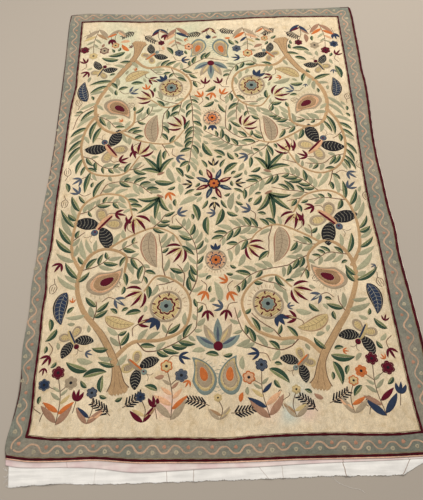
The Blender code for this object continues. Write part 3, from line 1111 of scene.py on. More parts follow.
# flower sprigs of the ends
sprigLooks = [
    {"height": 0.160, "lean": 0.10, "low": "taupe", "mid": ("orange", "peach"),
     "blooms": (("wheat", "orange"), ("slate", "slate"))},
    {"height": 0.185, "lean": -0.10, "low": "navy", "mid": ("maroon", "mauve"),
     "blooms": (("maroon", "maroon"), ("orange", "orange"), ("maroon", "maroon"))},
    {"height": 0.170, "lean": 0.08, "low": "taupe", "mid": ("wheat", "tan"),
     "blooms": (("wheat", "wheat"), ("taupe", "maroon"), ("maroon", "maroon"))},
    {"height": 0.150, "lean": -0.10, "low": "mauve", "mid": ("peach", "navy"),
     "blooms": (("slate", "navy"), ("peach", "orange"))},
    {"height": 0.178, "lean": 0.06, "low": "mauve", "mid": ("orange", "orange"),
     "blooms": (("maroon", "maroon"), ("taupe", "taupe"), ("navy", "slate"))},
    {"height": 0.155, "lean": 0.14, "low": "maroon", "mid": ("tan", "wheat"),
     "blooms": (("navy", "slate"), ("peach", "peach"), ("slate", "taupe"))},
]

# the rows of the foot (-1) and the head (1): x, which look, how large
sprigRows = {
    -1: ((-0.474, 4, 0.82), (-0.385, 3, 0.56), (-0.222, 5, 0.44), (-0.142, 0, 0.95), (0.000, 2, 0.34),
         (0.144, 3, 1.0), (0.220, 2, 0.44), (0.388, 0, 0.56), (0.478, 1, 0.88)),
    1: ((-0.478, 2, 0.92), (-0.392, 0, 0.56), (-0.216, 1, 0.44), (-0.146, 3, 1.0), (0.000, 5, 0.34),
        (0.140, 0, 0.95), (0.224, 0, 0.44), (0.384, 1, 0.56), (0.472, 4, 0.88)),
}

# what grows between them, and how far it leans
betweenSprigs = (
    (-0.520, "tendril", -0.2), (-0.428, "tulip", -0.2), (-0.318, "fern", 1.0), (-0.284, "fern", -0.9),
    (-0.182, "tulip", 0.2), (-0.030, "fern", 1.35), (0.032, "fern", -1.35), (0.184, "tendril", 0.2),
    (0.282, "fern", 0.9), (0.320, "fern", -1.0), (0.430, "tendril", -0.2), (0.522, "tulip", -0.2),
)


def sprig(root, towards, look, flip, size):
    heading = towards + look["lean"] * flip
    height = look["height"] * size
    small = size ** 0.45
    isTall = size > 0.6
    tip = away(root, heading, height)
    bow = away(root, heading, height * 0.5) + np.array((0.010 * flip, 0.0))
    stem = line("umber", [root, bow, tip], 0.0018, step=0.006)
    last = len(stem) - 1
    # leaves in pairs: how far up, spread, length, width, dyes
    tiers = [(0.02, 0.72, 0.076, 0.024, (look["low"],) * 2),
             (0.24, 0.96, 0.062, 0.019, look["mid"]),
             (0.45, 0.85, 0.042, 0.014, random.choices(("sage", "peach", "wheat", "navy"), k=2)),
             (0.62, 0.90, 0.030, 0.011, random.choices(("sage", "taupe", "mauve"), k=2))]
    for share, spread, length, width, pair in tiers if isTall else tiers[:2]:
        for side, dye in zip((-1, 1), pair):
            base = stem[int((share + 0.04 * side * flip) * last)]
            bend = -side * random.uniform(0.05, 0.40)
            leaf(base, heading + side * spread, length * small, width * small, dye, bend)
    for k, (petal, rim) in enumerate(look["blooms"] if isTall else look["blooms"][:1]):
        side = (0.0, -1.0, 1.0)[k] * flip
        up, reach = (0.95, 0.004) if k == 0 else (0.66, -0.036)
        spot = away(tip, heading, reach) + aim(heading + side * 1.4) * abs(side) * 0.044 * small
        line("umber", [stem[int(up * last)], spot], 0.0016)
        rosette(spot, random.uniform(0.0185, 0.0215) * small, petal, rim, turn=heading)


def drawEnds():
    for sideY, row in sprigRows.items():
        towards = -sideY * math.pi / 2
        for x, number, size in row:
            root = (x, sideY * (0.812 + random.uniform(-0.008, 0.006)))
            sprig(root, towards, sprigLooks[number], sideY if x > 0 else -sideY, size)
        for k, (x, kind, lean) in enumerate(betweenSprigs):
            heading = towards - sideY * lean
            place = np.array((x, sideY * (0.808 - 0.022 * (k % 2))))
            if kind == "fern":
                fern(away(place, towards, 0.012), heading, 0.070)
            elif kind == "tulip":
                tip = away(place, heading, 0.034)
                line("umber", [place, tip], 0.0016)
                tulip(tip, heading, 0.034, ("orange", "maroon", "navy")[k % 3])
            else:
                lean *= -sideY
                tendril(place, heading, 0.085, -5.0 * lean)
                tendril(away(place, towards, 0.022), towards - 4.5 * lean, 0.048, 5.0 * lean)


# the vines that fill the rest
vineLook = {
    "step": 0.009,
    "halfWidth": 0.0027,
    "apart": 0.036,         # between one stem and the next
    "leafEvery": 0.0195,
    "leafLength": (0.042, 0.057),
    "leafWidth": (0.0162, 0.0210),
    "longest": 0.36,
    "budShare": 0.3,        # stems that end in a forked bud
}


def headingAt(path, k, before=1):
    ahead = path[k] - path[k - before]
    return math.atan2(ahead[1], ahead[0])


def placeLeaf(base, heading, side, pale, large=1.0):
    # the largest of a few sizes and turns that finds room
    length = random.uniform(*vineLook["leafLength"]) * large
    width = random.uniform(*vineLook["leafWidth"]) * large ** 0.15
    bend = -side * random.uniform(0.35, 0.9)
    for shrink in (1.0, 0.84, 0.70, 0.56):
        for swing in (0.75, 1.0, 0.55, 1.25):
            turn = heading + side * swing
            spine = bentSpine(base, turn, length * shrink, bend)
            if all(isOpen(spine[k], 0.0035) for k in (3, 5, 7)) and isOpen(spine[8], 0.0015):
                if pale:
                    leaf(base, turn, length * shrink, width * shrink ** 0.5, "sage", bend)
                else:
                    splitLeaf(base, turn, length * shrink, width * shrink ** 0.5, bend)
                return


def roomAhead(start, turn):
    # how many of four steps ahead are clear of stitches and of other stems
    steps = [away(start, turn, ahead) for ahead in (0.010, 0.020, 0.032, 0.046)]
    room = 0
    while room < 4 and isOpen(steps[room], 0.006) and isOpen(steps[room], 0.003, stemRoom):
        room += 1
    return room, steps[2]


def growVine(start, heading, curl):
    # leaves its parent first, then goes where there is most room
    points = [away(start, heading, vineLook["step"] * k) for k in range(5)]
    if not all(isOpen(point, 0.004) for point in points[2:]) or not isOpen(points[-1], 0.004, stemRoom):
        return None
    while len(points) * vineLook["step"] < vineLook["longest"]:
        best, bestTurn = -9.0, None
        for swing in (-0.30, -0.15, 0.0, 0.15, 0.30):
            turn = heading + swing + curl * 0.08
            room, further = roomAhead(points[-1], turn)
            own = np.linalg.norm(np.array(points[:-8]) - further, axis=1).min() if len(points) > 8 else 1.0
            score = room - abs(swing) * 0.9
            if room > 0 and own > vineLook["apart"] and score > best:
                best, bestTurn = score, turn
        if bestTurn is None:
            break
        heading = bestTurn
        points.append(away(points[-1], heading, vineLook["step"]))
    return np.array(points) if len(points) > 6 else None


def growAll(paths):
    stems, waiting = [], [(path, 3) for path in paths]
    while waiting:
        path, first = waiting.pop(0)
        for k in range(first, len(path) - 1, 3):
            along = headingAt(path, k + 1, 2)
            for side in random.sample((-1, 1), 2):
                turn = along + side * random.uniform(0.6, 1.1)
                vine = growVine(path[k], turn, -side * random.uniform(0.2, 1.2))
                if vine is not None:
                    vine = line("stem", vine, vineLook["halfWidth"], step=0.006, taper=0.3)
                    claim(vine[2:], vineLook["apart"], stemRoom)
                    stems.append(vine)
                    waiting.append((vine, 4))
    return stems


def dress(stem, large=1.0, outward=False):
    # pairs of leaves along a stem, or only those that reach towards the border
    run = np.linspace(0.0, 0.006 * (len(stem) - 1), len(stem))
    place, side = 0.014, random.choice((-1, 1))
    while place < run[-1] - 0.003:
        k = min(max(int(np.searchsorted(run, place)), 1), len(stem) - 1)
        heading = headingAt(stem, k)
        for hand, pale in ((side, False), (-side, True)):
            reachesOut = math.cos(heading + hand * 1.2) * stem[k][0] > 0.0 and abs(stem[k][0]) > 0.40
            if outward and reachesOut:
                placeLeaf(stem[k], heading, hand, random.random() < 0.4, large)
            elif not outward:
                placeLeaf(stem[k], heading, hand, pale, large)
        if random.random() < 0.4:
            side = -side
        place += vineLook["leafEvery"] * large ** 0.9 * random.uniform(0.85, 1.15)
    heading = headingAt(stem, -1)
    if random.random() < vineLook["budShare"] and isOpen(away(stem[-1], heading, 0.022), 0.014):
        forkBud(stem[-1], heading, 0.034, random.choice(("maroon", "maroon", "slate", "orange")))
    else:
        placeLeaf(stem[-1], heading, 0.3, False)


def fillOne(base, turn, reach, nearEnd):
    choice = random.random()
    width = reach ** 0.6 * 0.125
    if choice < 0.55:
        splitLeaf(base, turn, reach, width, random.choice((-0.8, 0.8)))
    elif choice < 0.90:
        dye = random.choice(("mauve", "peach", "sage", "orange")) if nearEnd else "sage"
        leaf(base, turn, reach, width, dye, random.choice((-0.7, 0.7)))
    else:
        forkBud(base, turn, min(reach * 0.8, 0.038), random.choice(("maroon", "orange", "slate")))


def fillGaps():
    # single leaves and small buds where the cloth is still bare, the large gaps first
    filled = 0
    for radius, reach in ((0.024, 0.074), (0.0175, 0.052), (0.0130, 0.042), (0.0100, 0.030), (0.0080, 0.024)):
        for x in np.arange(-0.53, 0.53, 0.009):
            for y in np.arange(-0.75, 0.75, 0.009):
                spot = np.array((x + random.uniform(-0.003, 0.003), y + random.uniform(-0.003, 0.003)))
                if not isOpen(spot, radius):
                    continue
                flow = math.sin(spot[0] * 13.0 + spot[1] * 5.0) * 2.2 + spot[1] * 6.0
                for turn in (flow, flow + 0.8, flow - 0.8, flow + 1.57):
                    base = away(spot, turn, -reach * 0.5)
                    if isOpen(base, 0.004) and isOpen(away(spot, turn, reach * 0.5), 0.004):
                        fillOne(base, turn, reach, abs(y) >= 0.66)
                        filled += 1
                        break
    return filled


branchPaths = drawBranches()
drawMotifs()
drawMiddle()
drawEnds()
for path in branchPaths:
    dress(path, 1.75, outward=True)
vines = growAll(branchPaths)
for path in vines + branchPaths:
    dress(path)
print("vines grown:", len(vines), "gaps filled:", fillGaps())


# border

border = {
    "middle": 0.0275,           # from the inner dark line to the middle of the band
    "swing": 0.0105,            # of the wavy line
    "roundness": (0.10, 0.0, 0.0, 0.02),  # of its bends: foot, right, head, left
    "waveHalfWidth": 0.0030,
    "wavesOnEnd": 17,
    "wavesOnSide": 24,
    "cornerReach": 0.55,        # how much further the wave swings at the corners
    "cornerSpan": 0.018,
    "footBeats": ((-0.5256, 0.5), (-0.2596, 4.5), (0.2768, 12.5), (0.5458, 16.5)),  # x and waves so far
    "sideBreak": (-0.737, -0.702),  # the wave stops short here on the left side
    "dotIn": 0.0065,
    "dotRadius": (0.0050, 0.0060),
    "ringOut": 0.0085,
    "ringRadius": (0.0060, 0.0070),
    "ringHole": (0.08, 0.22),
    "lineHalfWidth": 0.0038,
    "rightWider": 1.38,         # the outer line of the right side is broader
    "oliveHalfWidth": 0.0019,
}


def uneven(count, amount, pace):
    # thread by thread a little wider or narrower
    return amount * np.sin(np.arange(count) * pace)


def ribbon(dye, path, halfWidth, lift=0.0004, dome=0.0006, wide=False):
    path = np.asarray(path, dtype=float)
    normal = sideways(path)
    half = np.broadcast_to(halfWidth, len(path))
    shares = (-1.0, -0.7, 0.0, 0.7, 1.0) if wide else (-1.0, 0.0, 1.0)
    grid = np.array([path + normal * (half * share)[:, None] for share in shares])
    # long ribbons are cut so that their tone drifts along them
    for start in range(0, len(path) - 1, 24):
        piece = grid[:, start:start + 25]
        if piece.shape[1] > 1:
            sew(dye, piece, lift, dome, 1.0 + 0.08 * math.sin(start * 0.37))


def dot(dye, centre, radius, inner=0.0, tone=1.0):
    # a round dot, or a ring if it has an inner share
    angles = np.linspace(0.0, 2.0 * math.pi, 15)
    around = np.column_stack([np.cos(angles), np.sin(angles)])
    wobble = 1.0 + 0.10 * np.sin(3.0 * angles + centre[0] * 90.0)
    rings = [inner + (1.0 - inner) * share for share in (1.0, 0.8, 0.45, 0.0 if inner else 0.04)]
    grid = [np.array(centre) + around * (radius * wobble * ring)[:, None] for ring in rings]
    sew(dye, grid, 0.0004, 0.0006, tone, disc=not inner)


def bandMiddle(side):
    # middle of the border band along one side, from corner to corner
    if side == "foot":
        x = np.linspace(-0.555, 0.566, 240)
        return np.column_stack([x, 0.5 * (innerFootY(x) + stitchFootY(x) + 0.008)])
    if side == "head":
        x = np.linspace(-0.555, 0.558, 240)
        return np.column_stack([x, innerHeadY(x) + border["middle"]])
    y = np.linspace(-0.850, 0.860, 360)
    if side == "left":
        return np.column_stack([innerLeftX(y) - border["middle"], y])
    return np.column_stack([0.5 * (innerRightX(y) + rightX(y) - 0.007), y])


def cornered(before, after):
    # quarter turn between the last point of one side and the first of the next, split in two
    start, end = before[-1], after[0]
    drift = np.abs(start - before[-2])
    knee = np.array((start[0], end[1])) if drift[0] < drift[1] else np.array((end[0], start[1]))
    t = np.linspace(0.0, 1.0, 13)[:, None]
    turn = (1 - t) ** 2 * start + 2 * t * (1 - t) * knee + t ** 2 * end
    return turn[:7], turn[6:]


def stretches(mask):
    # start and end of each run that is true
    edges = np.flatnonzero(np.diff(np.concatenate([[0], mask.astype(int), [0]])))
    return [(start, end) for start, end in zip(edges[::2], edges[1::2]) if end - start > 2]


def sewSideWave(number, path, count):
    # the wavy line of one side, and its dots inwards and rings outwards by turns
    run = runOf(path)
    even = np.linspace(0.0, run[-1], int(run[-1] / 0.0045))
    path = readPath(path, run, even)
    outward = -sideways(path)
    beats = count * even / run[-1]
    if number == 0:
        beats = np.interp(path[:, 0], *zip((path[0, 0], 0.0), *border["footBeats"], (path[-1, 0], count)))
    phase = 2.0 * math.pi * beats
    nearCorner = np.exp(-(np.minimum(even, run[-1] - even) / border["cornerSpan"]) ** 2)
    drift = 1.0 + 0.13 * np.sin(even * 21.0 + number) + 0.08 * np.sin(even * 47.0 + 2.0 * number)
    drift = drift + border["cornerReach"] * nearCorner
    bend = np.cos(phase + 0.12 * np.sin(even * 17.0)) - border["roundness"][number] * np.cos(3.0 * phase)
    stray = 0.0012 * np.sin(even * 13.0 + 3.0 * number)
    wave = path + outward * (border["swing"] * drift * bend + stray)[:, None]
    low, high = border["sideBreak"]
    sewn = (wave[:, 1] < low) | (wave[:, 1] > high) | (number != 3)
    half = border["waveHalfWidth"] * (1.0 + 0.14 * np.sin(even * 60.0) + 0.08 * np.sin(even * 23.0))
    for start, end in stretches(sewn):
        ribbon("wavePeach", wave[start:end], half[start:end])
    for n in range(count * 2):
        place, out = readPath(path, beats, 0.5 * n), readPath(outward, beats, 0.5 * n)
        place = place + (random.uniform(-0.0012, 0.0012), random.uniform(-0.0012, 0.0012))
        tone = random.uniform(0.86, 1.10)
        if n % 2 == 0:
            dot("dotOrange", place - out * border["dotIn"], random.uniform(*border["dotRadius"]), tone=tone)
        else:
            radius = random.uniform(*border["ringRadius"])
            hole = random.uniform(*border["ringHole"])
            dot("ringBeige", place + out * border["ringOut"], radius, hole, tone)


def sewWave():
    # round the panel: foot, right side, head, left side
    sides = [bandMiddle("foot"), bandMiddle("right"), bandMiddle("head")[::-1], bandMiddle("left")[::-1]]
    counts = [border["wavesOnEnd"], border["wavesOnSide"]] * 2
    corners = [cornered(sides[k - 1], sides[k]) for k in range(4)]
    for k, side in enumerate(sides):
        path = np.vstack([corners[k][1][:-1], side, corners[(k + 1) % 4][0][1:]])
        sewSideWave(k, path, counts[k])


# the dark line that is left showing on the turned left edge: y, half width
leftLineShows = [
    (-0.900, 0.0026), (-0.880, 0.0), (-0.812, 0.0), (-0.780, 0.0024), (-0.730, 0.0032), (-0.680, 0.0026),
    (-0.650, 0.0), (-0.010, 0.0), (0.060, 0.0016), (0.300, 0.0022), (0.560, 0.0022), (0.640, 0.0013),
    (0.860, 0.0013), (0.885, 0.0024), (0.912, 0.0028),
]


def meet(sideX, endY):
    # the corner where a side's inner line meets an end's
    x, y = 0.0, 0.0
    for _ in range(6):
        y = endY(x)
        x = sideX(y)
    return float(x), float(y)


def sewDarkLine(path, half, inwards, skip):
    # a dark line with a thin olive one along its inner side
    olive = border["oliveHalfWidth"]
    ribbon("lineMaroon", path, half, lift=0.0006, wide=True)
    ribbon("lineOlive", path[skip] + inwards, olive, lift=0.0003, dome=0.0004)


def sewInnerLines():
    half, olive = border["lineHalfWidth"], border["oliveHalfWidth"]
    lines = []
    for endY, inwards in ((innerFootY, (0, 1)), (innerHeadY, (0, -1))):
        x = np.linspace(meet(innerLeftX, endY)[0] - 0.7 * half, meet(innerRightX, endY)[0] + 0.7 * half, 226)
        lines.append((np.column_stack([x, endY(x)]), inwards))
    for sideX, inwards in ((innerLeftX, (1, 0)), (innerRightX, (-1, 0))):
        y = np.linspace(meet(sideX, innerFootY)[1], meet(sideX, innerHeadY)[1], 345)
        lines.append((np.column_stack([sideX(y), y]), inwards))
    for path, inwards in lines:
        width = half * (1.0 + uneven(len(path), 0.10, 0.9) + uneven(len(path), 0.08, 0.31))
        sewDarkLine(path, width, np.array(inwards) * (half + olive * 0.8), slice(1, -1))


def sewOuterLines():
    # whole along the foot and the right side, half hidden on the turned edges
    half, olive = border["lineHalfWidth"], border["oliveHalfWidth"]
    x = np.arange(-0.603, 0.6300, 0.005)
    foot = np.column_stack([x, stitchFootY(x) + 0.0080])
    width = half * (1.0 + uneven(len(x), 0.12, 0.8))
    sewDarkLine(foot, width, np.array((0.0, half + olive * 0.8)), slice(3, -2))
    ribbon("footPeach", foot + np.array((0.0, -half - 0.0020)), 0.0029, lift=0.0004, dome=0.0005)
    y = np.arange(-0.9130, 0.9140, 0.005)
    right = np.column_stack([rightX(y) - np.interp(y, (0.10, 0.42), (0.0066, 0.0043)), y])
    width = half * (border["rightWider"] + uneven(len(y), 0.12, 0.7))
    sewDarkLine(right, width, -np.array((half * 1.3 + olive * 0.8, 0.0)), slice(3, -3))
    y = np.arange(-0.9000, 0.9100, 0.005)
    shown = np.interp(y, *zip(*leftLineShows))
    left = np.column_stack([leftX(y) + shown + 0.0012, y])
    for start, end in stretches(shown > 0.0002):
        ribbon("lineMaroon", left[start:end], shown[start:end], lift=0.0004, dome=0.0004)
    for low, high in ((-0.610, -0.580), (0.575, 0.618)):
        x = np.arange(low, high, 0.004)
        ribbon("lineMaroon", np.column_stack([x, headY(x) - 0.0040]), 0.0028, lift=0.0004, dome=0.0004)


sewWave()
sewInnerLines()
sewOuterLines()
print("border sewn")


def bagPiece(name, bag):
    points = np.vstack(bag["points"])
    z = clothTop(points[:, 0], points[:, 1]) + np.concatenate(bag["heights"])
    finish = motifWool("wool " + name, dyes[name])
    piece = meshPiece("stitch_" + name, np.column_stack([points, z]), bag["faces"], [finish],
                      np.vstack(bag["uvs"]), np.concatenate(bag["tones"]))
    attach(piece, "root")
    return piece


stitched = [bagPiece(name, bag) for name, bag in bags.items() if bag["faces"]]
print("stitched pieces:", len(stitched), "faces:", sum(len(bag["faces"]) for bag in bags.values()))


# the ground cloth

groundLook = {
    "cream": linear(228, 209, 177),
    "creamDeep": linear(208, 184, 146),
    "band": linear(144, 136, 120),
    "bandCool": linear(125, 127, 114),
    "footShade": 0.91,          # the band is darker along the foot
    "footFrom": (-0.91, -0.80),
    "cotton": linear(220, 205, 200),
    "pink": linear(208, 184, 182),
    # colour of the painted shadow in the creases
    "creaseShadow": linear(128, 98, 78),
    "backCotton": linear(226, 217, 200),
    "coil": 0.030,              # size of the coils that fill the ground
    "cellsAcross": 138,
    "cellsAlong": 213,
}

stainAndShadeColours = {
    "green": (0.50, 0.62, 0.42),
    "blue": (0.42, 0.56, 0.54),
    "pink": (0.86, 0.48, 0.42),
    # tan is no dye: it paints the shade beside the ridge along the left border, and one darker tan patch in
    # the field
    "tan": (0.60, 0.44, 0.24),
}

# dye that has run, and tan patches, the two by the left border being painted shade beside the ridge there: x,
# y, reach, strength, which dye
dyeStainsAndShade = [
    (-0.38, 0.74, 0.17, 0.46, "green"), (-0.10, 0.78, 0.14, 0.52, "green"), (0.02, 0.70, 0.12, 0.46, "green"),
    (-0.30, 0.52, 0.19, 0.52, "green"), (-0.20, 0.36, 0.13, 0.38, "green"), (0.28, 0.46, 0.15, 0.36, "green"),
    (0.12, 0.60, 0.14, 0.36, "green"), (-0.34, 0.22, 0.10, 0.22, "green"), (0.34, -0.20, 0.10, 0.16, "green"),
    (0.20, -0.80, 0.055, 0.60, "blue"), (0.23, -0.74, 0.055, 0.36, "blue"),
    (-0.16, -0.77, 0.045, 0.58, "pink"), (0.15, -0.79, 0.04, 0.45, "pink"), (0.25, -0.80, 0.035, 0.5, "pink"),
    (0.05, -0.50, 0.05, 0.22, "pink"),
    # the first two tan patches are painted shade beside the ridge by the left border; the third darkens the
    # field to tan
    (-0.545, 0.52, 0.05, 0.30, "tan"), (-0.55, 0.42, 0.05, 0.22, "tan"), (-0.40, -0.62, 0.05, 0.18, "tan"),
]

# painted shadow lines in the creases across the foot margin: x and y of both ends, darkness
marginCreases = [
    (-0.4306, -0.918, -0.4261, -0.932, 0.35),
    (0.335, -0.918, 0.341, -0.965, 0.65),
    (0.521, -0.920, 0.493, -0.967, 0.50),
]


def coiledRows(tree):
    # chain stitch wound round the middle of each cell, and a draw for each cell
    place = strayed(tree, lieOf(tree))
    inputs = {"Vector": place, "Scale": 1.0 / groundLook["coil"], "Randomness": 0.8}
    cells = addNode(tree, "TexVoronoi", inputs, voronoi_dimensions="2D")
    away = split(tree, calcPlaces(tree, "SUBTRACT", place, cells.outputs["Position"]))
    squares = [calc(tree, "POWER", away[axis], 2.0) for axis in (0, 1)]
    radius = calc(tree, "SQRT", calc(tree, "ADD", *squares))
    angle = calc(tree, "ARCTAN2", away[1], away[0])
    # one turn of the coil moves out by a row
    turned = calc(tree, "MULTIPLY", angle, stitchLook["rowPitch"] / (2.0 * math.pi))
    across = calc(tree, "ADD", radius, turned)
    along = calc(tree, "MULTIPLY", angle, calc(tree, "MAXIMUM", radius, 0.003))
    cellDraw = addNode(tree, "SeparateColor", {0: cells.outputs["Color"]}).outputs[0]
    return chainRows(tree, across, along), cellDraw


def creamFinish():
    material, tree, surface = emptyFinish("cream wool coils", 0.93, 0.12)
    stitches, cellDraw = coiledRows(tree)
    wide = remap(tree, cloudy(tree, lieOf(tree), 4.0, 4.0)[0], 0.35, 0.7)
    fine = remap(tree, cloudy(tree, lieOf(tree), 42.0, 3.0)[0], 0.45, 0.75)
    worn = calc(tree, "ADD", calc(tree, "MULTIPLY", wide, 0.35), calc(tree, "MULTIPLY", fine, 0.55))
    colour = blendColour(tree, worn, groundLook["cream"], groundLook["creamDeep"])
    colour = scaled(tree, colour, remap(tree, cellDraw, 0.0, 1.0, 0.95, 1.03))
    # dye that has run, with the painted shade of the tan patches by the left border
    stainAndShade = addNode(tree, "Attribute", attribute_name="dyeRunAndShade").outputs
    colour = blendColour(tree, stainAndShade["Alpha"], colour, stainAndShade["Color"])
    finishWool(tree, surface, colour, stitches)
    return material


def bandFinish():
    material, tree, surface = emptyFinish("grey green wool rows", 0.93, 0.10)
    wide = remap(tree, cloudy(tree, lieOf(tree), 7.0, 3.0)[0], 0.3, 0.7)
    colour = blendColour(tree, wide, groundLook["band"], groundLook["bandCool"])
    colour = patchy(tree, colour, lieOf(tree), 60.0, 2.0, 0.25, 0.75, 0.90, 1.08)
    y = split(tree, lieOf(tree))[1]
    colour = scaled(tree, colour, remap(tree, y, *groundLook["footFrom"], groundLook["footShade"], 1.0))
    finishWool(tree, surface, colour, rowsAlongPiece(tree))
    return material


def creaseShadowShare(tree, x, y, lines):
    # how much painted crease shadow lies here: nearness to any of the crease lines, times its darkness
    total = 0.0
    for startX, startY, endX, endY, darkness in lines:
        slope = (endX - startX) / (endY - startY)
        onLine = calc(tree, "MULTIPLY_ADD", y, slope, startX - slope * startY)
        away = calc(tree, "ABSOLUTE", calc(tree, "SUBTRACT", x, onLine))
        total = calc(tree, "ADD", total, remap(tree, away, 0.0003, 0.0019, darkness, 0.0))
    return total


def cottonFinish(name, colour, tinted=None, pitch=0.0011, creases=(), rumpled=False):
    # plain weave; pitch is that of its threads
    material, tree, surface = emptyFinish(name, 0.9, 0.06)
    lie = lieOf(tree)
    x, y = split(tree, strayed(tree, lie))[:2]
    threads = [calc(tree, "ABSOLUTE", calc(tree, "SINE", calc(tree, "MULTIPLY", item, math.pi / pitch)))
               for item in (x, y)]
    height = calc(tree, "MULTIPLY", calc(tree, "ADD", *threads), 0.5)
    if tinted is not None:
        colour = blendColour(tree, remap(tree, cloudy(tree, lie, 14.0, 3.0)[0], 0.3, 0.62), tinted, colour)
    colour = patchy(tree, colour, lie, 22.0, 4.0, 0.2, 0.8, 0.93, 1.03)
    # painted shade: the threads are darker in the hollows of the weave
    colour = scaled(tree, colour, remap(tree, height, 0.1, 0.9, 0.90, 1.02))
    if rumpled:
        # long slanting rumples, raised by the bump, with their painted shade and highlight in the colour
        inputs = {"Vector": lie, "Rotation": (0.0, 0.0, -0.10), "Scale": (9.0, 95.0, 1.0)}
        rumpleShadeAndRise = cloudy(tree, addNode(tree, "Mapping", inputs).outputs[0], 1.0, 3.0)[0]
        colour = scaled(tree, colour, remap(tree, rumpleShadeAndRise, 0.3, 0.7, 0.89, 1.05))
        height = calc(tree, "ADD", height, calc(tree, "MULTIPLY", rumpleShadeAndRise, 3.0))
    # painted shadow along the creases
    if creases:
        colour = blendColour(tree, creaseShadowShare(tree, x, y, creases), colour, groundLook["creaseShadow"])
    cover(tree, surface, colour, height, 0.0003, 0.5)
    return material


def between(limits, kinds, shares, at):
    # places that lie by their share between the two limits of their kind
    places = [low(at) + (high(at) - low(at)) * shares for low, high in limits.values()]
    return np.select([kinds == kind for kind in limits], places)


def clothGrid():
    # columns and rows of the cloth, each a part of it and a share from its low to its high side
    edgeShares = (0.0, 0.045, 0.11, 0.20, 0.34, 0.55, 0.78)
    across, along = groundLook["cellsAcross"], groundLook["cellsAlong"]
    columns = [("left", share) for share in edgeShares]
    columns += [("field", k / across) for k in range(across)]
    columns += [("right", share) for share in (0.0, 0.20, 0.42, 0.62, 0.76, 0.84, 0.90, 0.955, 0.98, 1.0)]
    rows = [("margin", share) for share in (0.0, 0.07, 0.14, 0.30, 0.50, 0.72, 0.94)]
    rows += [("foot", share) for share in (0.0, 0.03, 0.08, 0.16, 0.30, 0.45, 0.60, 0.80)]
    rows += [("field", k / along) for k in range(along)]
    rows += [("head", 1.0 - share) for share in (1.0,) + edgeShares[::-1]]
    columnKinds, columnShares = (np.array(item) for item in zip(*columns))
    rowKinds, rowShares = (np.array(item)[:, None] for item in zip(*rows))
    x = np.tile(np.linspace(-0.6, 0.62, len(columns)), (len(rows), 1))
    for _ in range(4):
        # the curved edges depend on each other, so the places are settled in a few rounds
        levels = {"margin": (marginFootY, stitchFootY), "foot": (stitchFootY, innerFootY),
                  "field": (innerFootY, innerHeadY), "head": (innerHeadY, headY)}
        y = between(levels, rowKinds, rowShares, x)
        sides = {"left": (leftX, innerLeftX), "field": (innerLeftX, innerRightX),
                 "right": (innerRightX, rightX)}
        x = between(sides, columnKinds, columnShares, y)
    return x, y, columns, rows


def finishAt(column, row):
    # which of the finishes a cell of the cloth has: cream, band, foot cotton, cotton back
    if column[0] == "right" and column[1] > 0.94:
        return 3
    if row[0] == "margin":
        return 2
    return 0 if column[0] == "field" and row[0] == "field" else 1


# real dye runs and painted tan shade by the left border, as one colour attribute
def stainAndShadeCloth(item, x, y):
    stainsAndShade = np.zeros((len(x), 4))
    stainsAndShade[:, :3] = groundLook["cream"][:3]
    for patchX, patchY, reach, strength, dye in dyeStainsAndShade:
        ragged = 1.0 + 0.25 * np.sin(31.0 * x + 17.0 * y) + 0.20 * np.sin(53.0 * y - 29.0 * x)
        away = np.hypot(x - patchX, y - patchY) / (reach * ragged)
        share = strength * np.exp(-2.2 * away ** 2)
        stronger = (share / np.maximum(share + stainsAndShade[:, 3], 1e-6))[:, None]
        stainsAndShade[:, :3] = stainsAndShade[:, :3] * (1.0 - stronger) + np.array(stainAndShadeColours[dye]) * stronger
        stainsAndShade[:, 3] = np.maximum(stainsAndShade[:, 3], share)
    layer = item.data.attributes.new("dyeRunAndShade", "FLOAT_COLOR", "POINT")
    layer.data.foreach_set("color", stainsAndShade.astype(np.float32).ravel())


def thicken(item, thickness):
    solidify = item.modifiers.new("thickness", "SOLIDIFY")
    solidify.thickness = thickness
    solidify.offset = -1.0
    return solidify


def makeGround():
    x, y, columns, rows = clothGrid()
    verts = np.stack([x, y, clothTop(x, y)], axis=-1).reshape(-1, 3)
    slots = [finishAt(column, row) for row in rows[:-1] for column in columns[:-1]]
    # rows of stitches run along the band: across first, along second
    sideBand = np.array([column[0] != "field" and row[0] == "field" for row in rows for column in columns])
    uvs = np.where(sideBand[:, None], verts[:, :2], verts[:, 1::-1])
    cotton = cottonFinish("foot cotton", groundLook["cotton"], groundLook["pink"], creases=marginCreases,
                          rumpled=True)
    finishes = [creamFinish(), bandFinish(), cotton, cottonFinish("cotton back", groundLook["backCotton"])]
    item = meshPiece("ground_cloth", verts, gridFaces(len(rows), len(columns)), finishes, uvs, None, slots)
    stainAndShadeCloth(item, verts[:, 0], verts[:, 1])
    # the cloth's own thickness, down to its cotton back
    full = 0.010
    weights = item.vertex_groups.new(name="thickness")
    for k, value in enumerate(clothThickness(verts[:, 0], verts[:, 1])):
        weights.add([k], float(value / full), "REPLACE")
    solidify = thicken(item, full)
    solidify.vertex_group = weights.name
    solidify.material_offset = 3
    solidify.material_offset_rim = 3
    return item


ground = makeGround()
print("ground cloth made")


# white cotton strip

stripLook = {
    "white": linear(230, 227, 222),
    "columns": 460,
    "fray": 0.0017,
    "threads": 120,
    "threadLength": (0.003, 0.008),
    "tuft": 14,                 # threads of the tuft at the left end
    "tuftLength": (0.005, 0.014),
    "threadRadius": 0.00022,
    "stray": ((0.300, -0.968), (0.318, -0.984), (0.345, -0.996), (0.372, -1.002), (0.384, -1.010)),
}


def stripRise(x, y, share):
    # the creases, flat again where the panel's foot lies on them
    clear = ease((marginFootY(x) - 0.002 - y) / 0.010)
    rise = np.zeros_like(x)
    for headX, rawX, halfWidth, height, _ in stripCreases:
        creaseX = headX + (rawX - headX) * share
        rise = rise + height * hump((x - creaseX) / halfWidth)
    return rise * clear


